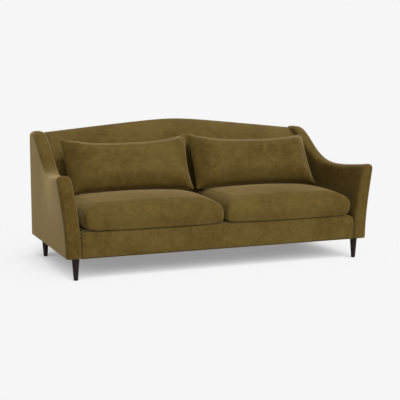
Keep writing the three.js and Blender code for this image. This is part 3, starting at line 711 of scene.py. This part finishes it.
def make_front_rail():
    edge = INNER_HALF + arm_lean(0, RAIL_TOP - RAIL_CORNER[1])
    rows = []
    for s in crowded(RAIL_COLUMNS, RAIL_CROWDING):
        from_corner = max(abs(s) * edge - (edge - RAIL_CORNER[0]), 0) / RAIL_CORNER[0]
        top = RAIL_TOP - RAIL_CORNER[1] * (1 - math.sqrt(max(1 - from_corner**2, 0)))
        row = []
        for forward, z in rail_profile(top):
            half = INNER_HALF + arm_lean(0, z) - RAIL_GAP
            from_end = max(abs(s) * half - (half - RAIL_END_ROUND), 0) / RAIL_END_ROUND
            sunk = RAIL_END_ROUND * (1 - math.sqrt(max(1 - from_end**2, 0)))
            back = sunk if forward > -RAIL_TOP_ROUND else 0
            row.append((s * half, RAIL_Y - forward + back, z))
        rows.append(row)
    ends = [[(x, y + RAIL_END_DEPTH, z) for x, y, z in row] for row in (rows[0], rows[-1])]
    cover = grid_object("front_rail_upholstery", np.array([ends[0], *rows, ends[1]]))
    thicken(turn_faces(cover), COVER_THICKNESS)
    dress(cover, velvet, "frame", ["front_rail_cover"])


def make_rail_timber():
    """The front rail's timber, a little smaller than its solid to stay inside the cover."""
    rail, co = copied("front_rail", "_trimmed")
    co[:, 0] *= 1 - (RAIL_GAP + RAIL_TIMBER_INSET) / INNER_HALF
    co[:, 1] = np.maximum(co[:, 1], RAIL_Y + RAIL_TIMBER_INSET)
    set_coordinates(rail, co)
    dress(rail, timber, "frame", ["front_rail"])


DECK_SAG = 0.003
DECK_SAG_POWER = 4
DECK_STEPS = (120, 40)
BOTTOM_SAG = 0.0012
BOTTOM_SAG_POWER = 6
BOTTOM_LIFT = 0.001
BOTTOM_THICKNESS = 0.0006
BOTTOM_STEPS = (100, 48)


def make_deck():
    low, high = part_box("deck_cloth")
    rows = []
    for x in np.linspace(low.x, high.x, DECK_STEPS[0] + 1):
        row = []
        for y in np.linspace(low.y, high.y, DECK_STEPS[1] + 1):
            along, back = abs(x / high.x), (y - low.y) / (high.y - low.y)
            sag = (1 - along**DECK_SAG_POWER) * math.sin(math.pi * back)
            row.append((x, y, high.z - DECK_SAG * sag))
        rows.append(row)
    cloth = turn_faces(grid_object("deck_upholstery", rows))
    thicken(cloth, COVER_THICKNESS)
    dress(cloth, velvet, "frame", ["deck_cloth", "deck_pad"])


def make_bottom_cloth():
    low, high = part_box("dust_cover")
    rows = []
    for x in np.linspace(low.x, high.x, BOTTOM_STEPS[0] + 1):
        row = []
        for y in np.linspace(low.y, high.y, BOTTOM_STEPS[1] + 1):
            along, back = abs(x / high.x), abs(y / high.y)
            sag = (1 - along**BOTTOM_SAG_POWER) * (1 - back**BOTTOM_SAG_POWER)
            row.append((x, y, low.z + BOTTOM_LIFT - BOTTOM_SAG * sag))
        rows.append(row)
    cloth = turn_faces(grid_object("bottom_cloth", rows))
    thicken(cloth, BOTTOM_THICKNESS)
    dress(cloth, lining, "frame", ["dust_cover"])


# Legs

LEG_SEGMENTS = 48
LEG_STEPS = 15
LEG_FOOT_RADIUS = 0.013
LEG_FOOT_EDGE = ((0.003, 0.0), (0.001, 0.0004), (0.0, 0.002))  # (inset, height over the glide)
LEG_HEAD_EDGE = ((0.0, 0.0015), (0.0008, 0.0004), (0.002, 0.0))  # (inset, depth under the frame)
LEG_SHARP_ANGLE = 50  # degrees
GLIDE_HEIGHT = 0.003
GLIDE_PROFILE = ((0.0085, 0.0), (0.0100, 0.0006), (0.0102, GLIDE_HEIGHT + 0.0002))  # (radius, height)


def lathe_object(name, profile):
    """A turned piece from (radius, height) points, with its ends closed."""
    angles = np.linspace(0, 2 * math.pi, LEG_SEGMENTS, endpoint=False)
    rings = [[(r * math.cos(a), r * math.sin(a), z) for a in angles] for r, z in profile]
    return tube_object(name, np.array(rings))


def make_leg(node):
    low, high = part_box(node)
    radius, height = (high.x - low.x) / 2, high.z - low.z
    foot = [(LEG_FOOT_RADIUS - inset, GLIDE_HEIGHT + up) for inset, up in LEG_FOOT_EDGE]
    head = [(radius - inset, height - down) for inset, down in LEG_HEAD_EDGE]
    start, end = np.array(foot[-1]), np.array(head[0])
    taper = [mix(start, end, t) for t in np.linspace(0, 1, LEG_STEPS + 1)[1:-1]]
    leg = lathe_object(node + "_turned", foot + taper + head)
    glide = lathe_object(node + "_glide", GLIDE_PROFILE)
    for piece in (leg, glide):
        piece.location = ((low.x + high.x) / 2, (low.y + high.y) / 2, low.z)
        split = piece.modifiers.new("Split", "EDGE_SPLIT")
        split.split_angle = math.radians(LEG_SHARP_ANGLE)
        apply_modifiers(piece)
    dress(leg, dark_wood, "frame", [node])
    dress(glide, lining, "frame")


# Seat cushions

SEAT_EDGE = 0.146  # height of its top at the edge, which the crown comes on top of
SEAT_CROWN = 0.032
SEAT_CORNER = 0.022
SEAT_FRONT_ROUND = 0.058
SEAT_END_ROUNDS = (0.060, 0.100)  # at the left and right end
SEAT_ROUND_HEIGHT = 0.062
SEAT_BOTTOM_ROUND = 0.010
SEAT_END_BOTTOM_ROUNDS = {"left": (0.040, 0.016), "right": (0.016, 0.040)}  # at its left and right end
SEAT_END_GAP = 0.006  # between the cushion and the arm, past the solids' own gap
SEAT_SAG = 0.006  # how far the lower front edge hangs over the rail
SEAT_SAG_DEPTH = 0.06
SEAT_SAG_HEIGHT = 0.05
SEAT_LIP = 0.009  # how much lower it hangs in front of the rail's face
SEAT_LIP_GAP = 0.0015
SEAT_LIP_DEPTH = 0.009
SEAT_CORNER_DROP = 0.012
SEAT_CORNER_LIFT = 0.014
SEAT_CORNER_POWER = 4
SEAT_BULGE = 0.010
SEAT_END_BULGES = {"left": (0.010, 0.002), "right": (0.002, 0.010)}  # at its left and right end
SEAT_OVERHANG = 0.014  # how far the front reaches past the rail's face
SEAT_REST_GAP = 0.0005
SEAT_VOXEL = 0.009
SEAT_PRESSURE = 1.5
SEAT_FRAMES = 12
SEAT_CAP = 0.005
SEAT_PRESSED = 0.03  # height of the foot that the deck holds in shape
SEAT_PLAN_STEPS = (10, 60, 40)  # round a corner, along x and along y
SEAT_ROUND_STEPS = 13
SEAT_SIDE_STEPS = 5
SEAT_FACE_STEPS = 23


def seat_plan(half_x, half_y, drawn_ends, drawn_y):
    """Points (x, y) round a seat cushion, with its two ends and its front and rear drawn in."""
    corner_steps, x_steps, y_steps = SEAT_PLAN_STEPS
    straight_x, straight_y = half_x - SEAT_CORNER, half_y - SEAT_CORNER
    points = []
    for turn, (sx, sy) in enumerate(((1, 1), (-1, 1), (-1, -1), (1, -1))):
        for i in range(corner_steps):
            angle = math.pi / 2 * (turn + i / corner_steps)
            x = sx * straight_x + SEAT_CORNER * math.cos(angle)
            y = sy * straight_y + SEAT_CORNER * math.sin(angle)
            points.append((x, y))
        steps = x_steps if turn % 2 == 0 else y_steps
        for i in range(steps):
            run = 1 - 2 * i / steps
            if turn % 2 == 0:
                points.append((sy * run * straight_x, sy * half_y))
            else:
                points.append((sx * half_x, -sx * run * straight_y))
    plan = np.array(points) * [1, 1 - drawn_y / half_y]
    plan[:, 0] *= 1 - np.where(plan[:, 0] < 0, *drawn_ends) / half_x
    return plan


def lower_draw(z, radius):
    """How far a rounded lower edge is drawn in at a height."""
    return radius - math.sqrt(radius**2 - max(radius - z, 0) ** 2)


def seat_rings(half_x, half_y, end_rounds, end_bulges):
    """Rings round a seat cushion, from the middle of its underside up to the middle of its top."""

    def crown(x, y):
        return SEAT_CROWN * (1 - (x / half_x) ** 2) * (1 - (y / half_y) ** 2)

    def ring(drawn_ends, drawn_y, z, top):
        plan = seat_plan(half_x, half_y, drawn_ends, drawn_y)
        u, v = plan[:, 0] / half_x, plan[:, 1] / half_y
        corner = (u * v) ** SEAT_CORNER_POWER
        swell = math.sin(math.pi * z / SEAT_EDGE)
        outward = np.where(u < 0, *end_bulges) * swell * u * (1 - v**2)
        forward = SEAT_BULGE * swell * v * (1 - u**2)
        lift = SEAT_CORNER_LIFT * corner
        if top:
            lift = crown(plan[:, 0], plan[:, 1]) - SEAT_CORNER_DROP * corner
        return np.stack([plan[:, 0] + outward, plan[:, 1] + forward, z + lift], axis=1)

    rings = []
    largest = max(end_rounds)
    for a in quarter_turn(SEAT_ROUND_STEPS):
        z = largest * (1 - math.cos(a))
        drawn_ends = [lower_draw(z, radius) for radius in end_rounds]
        rings.append(ring(drawn_ends, lower_draw(z, SEAT_BOTTOM_ROUND), z, False))
    for t in np.linspace(0, 1, SEAT_SIDE_STEPS + 1)[1:-1]:
        z = mix(largest, SEAT_EDGE - SEAT_ROUND_HEIGHT, t)
        rings.append(mix(ring((0, 0), 0, z, False), ring((0, 0), 0, z, True), smooth_step(t)))
    for a in quarter_turn(SEAT_ROUND_STEPS):
        share = 1 - math.cos(a)
        z = SEAT_EDGE - SEAT_ROUND_HEIGHT * (1 - math.sin(a))
        drawn_ends = [share * radius for radius in SEAT_END_ROUNDS]
        rings.append(ring(drawn_ends, SEAT_FRONT_ROUND * share, z, True))
    inner = np.linspace(0, 1, SEAT_FACE_STEPS + 1)[1:-1]
    under = [rings[0] * [s, s, 0] for s in inner]
    over = []
    for s in inner[::-1]:
        x, y = rings[-1][:, 0] * s, rings[-1][:, 1] * s
        over.append(np.stack([x, y, SEAT_EDGE + crown(x, y)], axis=1))
    return under + rings + over


def balloon_object(name, rings, first, last):
    """A closed piece through rings of points, with one point at each end."""
    size = len(rings[0])
    points = [first, *np.concatenate(rings), last]
    faces = []
    for i in range(size):
        j = (i + 1) % size
        faces.append((0, 1 + j, 1 + i))
        for k in range(len(rings) - 1):
            a, b = 1 + k * size, 1 + (k + 1) * size
            faces.append((a + i, a + j, b + j, b + i))
        end = 1 + (len(rings) - 1) * size
        faces.append((len(points) - 1, end + i, end + j))
    return face_outward(mesh_object(name, points, faces))


CLOTH_QUALITY = 6
EVEN_ROUNDS = 4


def evened(obj, moves, held):
    """Averages the moves of neighbouring points, so that only the soft swell is left of them."""
    edges = np.empty(len(obj.data.edges) * 2, int)
    obj.data.edges.foreach_get("vertices", edges)
    first, second = edges.reshape(-1, 2).T
    neighbours = np.maximum(np.bincount(edges, minlength=len(moves)), 1)[:, None]
    for _ in range(EVEN_ROUNDS):
        total = np.zeros_like(moves)
        np.add.at(total, first, moves[second])
        np.add.at(total, second, moves[first])
        moves = (moves + total / neighbours) / 2
        moves[held] = 0
    return moves


def simulate(obj, pressure, frames, cap, held):
    """Inflates a closed piece as cloth: the held points stay, and no point moves further than the cap."""
    before = coordinates(obj)
    cloth = obj.modifiers.new("Cloth", "CLOTH")
    settings = cloth.settings
    settings.use_pressure = True
    settings.uniform_pressure_force = pressure
    group = obj.vertex_groups.new(name="Held")
    group.add(held, 1.0, "REPLACE")
    settings.vertex_group_mass = group.name
    settings.effector_weights.gravity = 0
    settings.quality = CLOTH_QUALITY
    cloth.point_cache.frame_start = 1
    cloth.point_cache.frame_end = frames
    for number in range(1, frames + 1):
        scene.frame_set(number)
    apply_modifiers(obj)
    scene.frame_set(1)
    moved = coordinates(obj) - before
    length = np.linalg.norm(moved, axis=1, keepdims=True)
    moved = evened(obj, moved * np.minimum(1, cap / np.maximum(length, 1e-9)), held)
    set_coordinates(obj, before + moved)


def remesh(obj, voxel):
    again = obj.modifiers.new("Remesh", "REMESH")
    again.mode = "VOXEL"
    again.voxel_size = voxel
    again.use_smooth_shade = True
    apply_modifiers(obj)


def make_seat_cushion(side):
    node = "seat_cushion_cover_" + side
    low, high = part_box(node)
    half_x = (high.x - low.x) / 2 - SEAT_BULGE
    half_y = (high.y - low.y) / 2 - SEAT_BULGE
    rings = seat_rings(half_x, half_y, SEAT_END_BOTTOM_ROUNDS[side], SEAT_END_BULGES[side])
    cushion = balloon_object("seat_cushion_" + side, rings, (0, 0, 0), (0, 0, SEAT_EDGE + SEAT_CROWN))
    remesh(cushion, SEAT_VOXEL)
    foot = np.flatnonzero(coordinates(cushion)[:, 2] < SEAT_PRESSED).tolist()
    simulate(cushion, SEAT_PRESSURE, SEAT_FRAMES, SEAT_CAP, foot)
    finer = cushion.modifiers.new("Finer", "SUBSURF")
    finer.levels = 1
    apply_modifiers(cushion)
    co = coordinates(cushion)
    co[:, 2] = np.maximum(co[:, 2], 0.0)
    # the soft shape is fitted to its place on the seat
    first, last = co.min(axis=0), co.max(axis=0)
    start = np.array([low.x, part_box("front_rail_cover")[0].y - SEAT_OVERHANG, low.z + SEAT_REST_GAP])
    end = np.array(high)
    if side == "left":
        start[0] += SEAT_END_GAP
    else:
        end[0] -= SEAT_END_GAP
    co = start + (co - first) / (last - first) * (end - start)
    # its lower front edge hangs over the rail
    near_front = smooth_step(1 - (co[:, 1] - start[1]) / SEAT_SAG_DEPTH)
    near_foot = smooth_step(1 - (co[:, 2] - start[2]) / SEAT_SAG_HEIGHT)
    lip = smooth_step((RAIL_Y - SEAT_LIP_GAP - co[:, 1]) / SEAT_LIP_DEPTH)
    co[:, 2] -= (SEAT_SAG * near_front + SEAT_LIP * lip) * near_foot
    set_coordinates(cushion, co)
    cushion.data.shade_smooth()
    dress(cushion, velvet, "seat_cushion_" + side, [node, "seat_cushion_foam_" + side])
    return cushion


# Loose back cushions

LOOSE_HEIGHT = 0.402
LOOSE_THICKNESS = 0.184
LOOSE_LEAN = 30  # degrees
LOOSE_COLUMNS = 100
LOOSE_ROWS = 52
LOOSE_CROWDING = 0.6
LOOSE_TOP_PINCH = 0.31
LOOSE_BOTTOM_PINCH = 0.10
LOOSE_PINCH_POWER = 2.8
LOOSE_SIDE_FLANK = 0.075
LOOSE_TOP_FLANK = 0.050
LOOSE_BOTTOM_FLANK = 0.105
LOOSE_CORNER = 0.008  # how far the upper corners are drawn in
LOOSE_CORNER_POWER = 14
RAMP_START = 1e-6
RAMP_POWER = 4
BELLY_POWER = 2.3
LOOSE_MIDDLE_RISE = 0.153
LOOSE_MIDDLE_SETBACK = 0.058
LOOSE_PRESSURE = 2.0
LOOSE_FRAMES = 14
LOOSE_CAP = 0.007
SEAM_FLAT = 1e-6  # how far a seam's points may lie from its plane
CONTACT = 0.0015
CONTACT_TOP = DECK + 0.3  # no contact is looked for above this height
CONTACT_START = DECK + 0.4

# How each back cushion lies: its ends' shifts at the foot and at the top, as (left end, right end),
# the droop of its left and right upper corners, and how far its left and right sides are drawn in.
LIE = {
    "left": {
        "foot": (0.008, -0.022),
        "top": (-0.002, 0.001),
        "droop": (0.014, -0.004),
        "droop_power": 2,
        "pinch": (0.017, 0.050),
    },
    "right": {
        "foot": (-0.021, 0.0),
        "top": (-0.014, 0.0),
        "droop": (-0.003, 0.017),
        "droop_power": 5,
        "pinch": (0.010, 0.040),
    },
}


def ramp(distance, width):
    """Rises evenly from a seam over a flank's width, and rounds off to a flat face."""
    u = np.maximum(distance / width, RAMP_START)
    return (u**-RAMP_POWER + 1) ** (-1 / RAMP_POWER)


def belly(distance, width):
    """Rises steeply from a seam in a round, full curve to a flat face."""
    u = np.clip(distance / width, 0, 1)
    return (1 - (1 - u) ** BELLY_POWER) ** (1 / BELLY_POWER)


def loose_points(side, width, sign):
    """One half of an upright back cushion: the front half for sign -1, the rear half for 1."""
    half_x, half_y, half_z = width / 2, LOOSE_THICKNESS / 2, LOOSE_HEIGHT / 2
    s = crowded(LOOSE_COLUMNS, LOOSE_CROWDING)[None, :]
    t = crowded(LOOSE_ROWS, LOOSE_CROWDING)[:, None]
    pinch = np.where(t > 0, LOOSE_TOP_PINCH, LOOSE_BOTTOM_PINCH) * (1 - np.abs(s) ** LOOSE_PINCH_POWER)
    lie = LIE[side]
    up = (t + 1) / 2
    left = mix(lie["foot"][0], lie["top"][0], up) * (1 - s) / 2
    right = mix(lie["foot"][1], lie["top"][1], up) * (1 + s) / 2
    drawn = np.where(s < 0, lie["pinch"][0], lie["pinch"][1])
    x = half_x * s * (1 - drawn * (1 - t**2)) + left + right
    power = lie["droop_power"]
    droop = lie["droop"][0] * ((1 - s) / 2) ** power + lie["droop"][1] * ((1 + s) / 2) ** power
    z = half_z * t * (1 - pinch) - droop * np.maximum(t, 0)
    blunt = LOOSE_CORNER * np.abs(s * np.maximum(t, 0)) ** LOOSE_CORNER_POWER
    x, z = x - np.sign(s) * blunt, z - np.sign(t) * blunt
    upper = ramp((1 - t) * half_z, LOOSE_TOP_FLANK)
    lower = belly((1 + t) * half_z, LOOSE_BOTTOM_FLANK)
    swell = ramp((1 - np.abs(s)) * half_x, LOOSE_SIDE_FLANK) * upper * lower
    return np.stack(np.broadcast_arrays(x, sign * half_y * swell, z), axis=-1)


def rest_on(obj, under):
    """Presses the lower side of a piece flat against the piece that it lies on."""
    tree = BVHTree.FromObject(under, bpy.context.evaluated_depsgraph_get())
    co = coordinates(obj)
    for point in co:
        if point[2] > CONTACT_TOP:
            continue
        hit = tree.ray_cast(Vector((point[0], point[1], CONTACT_START)), Vector((0, 0, -1)))[0]
        if hit:
            point[2] = max(point[2], hit.z + CONTACT)
    set_coordinates(obj, co)


def make_loose_cushion(side, seat):
    node = "back_cushion_cover_" + side
    low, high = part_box(node)
    front, rear = (loose_points(side, high.x - low.x, sign) for sign in (-1, 1))
    rows, columns = front.shape[:2]
    index = np.arange(rows * columns).reshape(rows, columns)
    other = index + rows * columns
    rim = np.zeros((rows, columns), bool)
    rim[0] = rim[-1] = rim[:, 0] = rim[:, -1] = True
    other[rim] = index[rim]
    faces = quads(index).tolist() + quads(other)[:, ::-1].tolist()
    points = np.concatenate([front.reshape(-1, 3), rear.reshape(-1, 3)])
    cushion = mesh_object("back_cushion_" + side, points, faces)
    shape = bmesh.new()
    shape.from_mesh(cushion.data)
    bmesh.ops.delete(shape, geom=[v for v in shape.verts if not v.link_faces], context="VERTS")
    shape.to_mesh(cushion.data)
    shape.free()
    face_outward(cushion)
    seam = np.flatnonzero(np.abs(coordinates(cushion)[:, 1]) < SEAM_FLAT).tolist()
    simulate(cushion, LOOSE_PRESSURE, LOOSE_FRAMES, LOOSE_CAP, seam)
    lean = Matrix.Rotation(-math.radians(LOOSE_LEAN), 4, "X")
    y = FOOT_Y - LOOSE_MIDDLE_SETBACK
    z = DECK + SEAT_EDGE + SEAT_CROWN + LOOSE_MIDDLE_RISE
    cushion.data.transform(Matrix.Translation(((low.x + high.x) / 2, y, z)) @ lean)
    rest_on(cushion, seat)
    cushion.data.shade_smooth()
    nodes = [node, "back_cushion_filling_" + side]
    dress(cushion, velvet, "back_cushion_" + side, nodes)


make_inside_back()
make_outside_back()
make_front_rail()
make_rail_timber()
make_deck()
make_bottom_cloth()
for end in ("front", "rear"):
    for side in ("left", "right"):
        make_leg("leg_" + end + "_" + side)
for side, direction in (("left", -1), ("right", 1)):
    make_arm(side, direction)
    make_arm_rail(side, direction)
    make_arm_top_rail(side)
    make_loose_cushion(side, make_seat_cushion(side))

# Floor, light and camera

FLOOR_HALF = 40.0
FLOOR_UNSEEN = 0.8  # its colour as it lights the sofa
FLOOR_GLOW = 0.85  # of its own, where it is open to the light
FLOOR_SHADOW = 0.29  # its own glow where the sofa shades it: a painted shadow
# The painted shadow: the floor's own glow is dimmed where ambient occlusion finds the sofa between it and
# the light from the front.
SHADOW_UP = 40  # degrees
SHADOW_REACH = 1.0
SHADOW_DARK = 0.33
SHADOW_LIGHT = 0.706
SHADOW_SAMPLES = 32
WORLD_STRENGTH = 0.05
# Suns as (name, strength, degrees to the right of the front, degrees up, degrees across)
SUNS = (
    ("Front_right", 0.96, 30, 25, 80),
    ("Side_right", 0.37, 75, 20, 80),
    ("Front_high", 1.40, 0, 50, 80),
    ("Rear", 0.60, 165, 22, 80),
    ("Top", 0.50, 0, 90, 80),
)


def open_floor_light():
    """The share of a white floor's full brightness that the suns and the world give it."""
    suns = sum(strength * math.sin(math.radians(up)) for _, strength, _, up, _ in SUNS)
    return suns / math.pi + WORLD_STRENGTH


def seen_ray(tree):
    """1 for rays that show a surface: straight to the camera, mirrored or through glass."""
    path = tree.nodes.new("ShaderNodeLightPath").outputs
    seen = path["Is Camera Ray"]
    for kind in ("Is Glossy Ray", "Is Transmission Ray"):
        either = tree.nodes.new("ShaderNodeMath")
        either.operation = "MAXIMUM"
        tree.links.new(seen, either.inputs[0])
        tree.links.new(path[kind], either.inputs[1])
        seen = either.outputs[0]
    return seen


def floor_node(tree, kind, links, values, **settings):
    """A new node with its linked inputs, its fixed inputs and its settings."""
    node = tree.nodes.new(kind)
    for key, value in settings.items():
        setattr(node, key, value)
    for key, socket in links.items():
        tree.links.new(socket, node.inputs[key])
    for key, value in values.items():
        node.inputs[key].default_value = value
    return node


def painted_shadow_openness(tree):
    """How open each spot of the floor is toward the light from the front, from 0 to 1: this paints the
    sofa's shadow into the floor's glow.
    """
    up = math.radians(SHADOW_UP)
    toward = {"Y": -math.cos(up), "Z": math.sin(up)}
    light = floor_node(tree, "ShaderNodeCombineXYZ", {}, toward).outputs[0]
    sky = floor_node(tree, "ShaderNodeAmbientOcclusion", {"Normal": light}, {"Distance": SHADOW_REACH})
    sky.samples = SHADOW_SAMPLES
    limits = {"From Min": SHADOW_DARK, "From Max": SHADOW_LIGHT}
    return floor_node(tree, "ShaderNodeMapRange", {"Value": sky.outputs["AO"]}, limits).outputs[0]


def make_floor():
    size = FLOOR_HALF
    corners = [(-size, -size, 0), (size, -size, 0), (size, size, 0), (-size, size, 0)]
    floor = mesh_object("floor", corners, [(0, 1, 2, 3)], False)
    material = bpy.data.materials.new("Floor")
    material.use_nodes = True
    tree = material.node_tree
    shader = tree.nodes["Principled BSDF"]
    seen = seen_ray(tree)
    lighting = [FLOOR_UNSEEN] * 3 + [1]
    shown = [(BACKGROUND - FLOOR_GLOW) / open_floor_light()] * 3 + [1]
    pale = floor_node(tree, "ShaderNodeMix", {0: seen}, {6: lighting, 7: shown}, data_type="RGBA")
    # painted shadow: the floor's own glow is dimmed where the sofa covers it
    painted_shadow_range = {"To Min": FLOOR_SHADOW, "To Max": FLOOR_GLOW}
    glow_with_painted_shadow = floor_node(tree, "ShaderNodeMapRange", {"Value": painted_shadow_openness(tree)}, painted_shadow_range).outputs[0]
    strength = floor_node(tree, "ShaderNodeMath", {0: seen, 1: glow_with_painted_shadow}, {}, operation="MULTIPLY")
    tree.links.new(pale.outputs[2], shader.inputs["Base Color"])
    tree.links.new(strength.outputs[0], shader.inputs["Emission Strength"])
    shader.inputs["Emission Color"].default_value = (1, 1, 1, 1)
    shader.inputs["Roughness"].default_value = 1.0
    shader.inputs["Specular IOR Level"].default_value = 0.0
    floor.data.materials.append(material)


def add_sun(name, strength, aside, up, across):
    light = bpy.data.lights.new(name, "SUN")
    light.energy = strength
    light.angle = math.radians(across)
    lamp = bpy.data.objects.new(name, light)
    lamp.rotation_euler = (math.radians(90 - up), 0, math.radians(aside))
    scene.collection.objects.link(lamp)


def make_world():
    world = bpy.data.worlds.new("Studio")
    scene.world = world
    world.use_nodes = True
    tree = world.node_tree
    strength = tree.nodes.new("ShaderNodeMix")
    strength.inputs[2].default_value = WORLD_STRENGTH
    strength.inputs[3].default_value = BACKGROUND
    tree.links.new(seen_ray(tree), strength.inputs[0])
    tree.links.new(strength.outputs[0], tree.nodes["Background"].inputs["Strength"])
    tree.nodes["Background"].inputs["Color"].default_value = (1, 1, 1, 1)


def make_camera():
    camera = bpy.data.objects.new("Camera", bpy.data.cameras.new("Camera"))
    camera.data.lens = CAMERA_LENS
    camera.data.sensor_width = CAMERA_SENSOR
    camera.location = CAMERA_PLACE
    camera.rotation_euler = (math.radians(90 - CAMERA_PITCH), 0, -math.radians(CAMERA_YAW))
    scene.collection.objects.link(camera)
    scene.camera = camera


make_floor()
make_world()
for sun in SUNS:
    add_sun(*sun)
make_camera()
scene.view_settings.view_transform = "Standard"
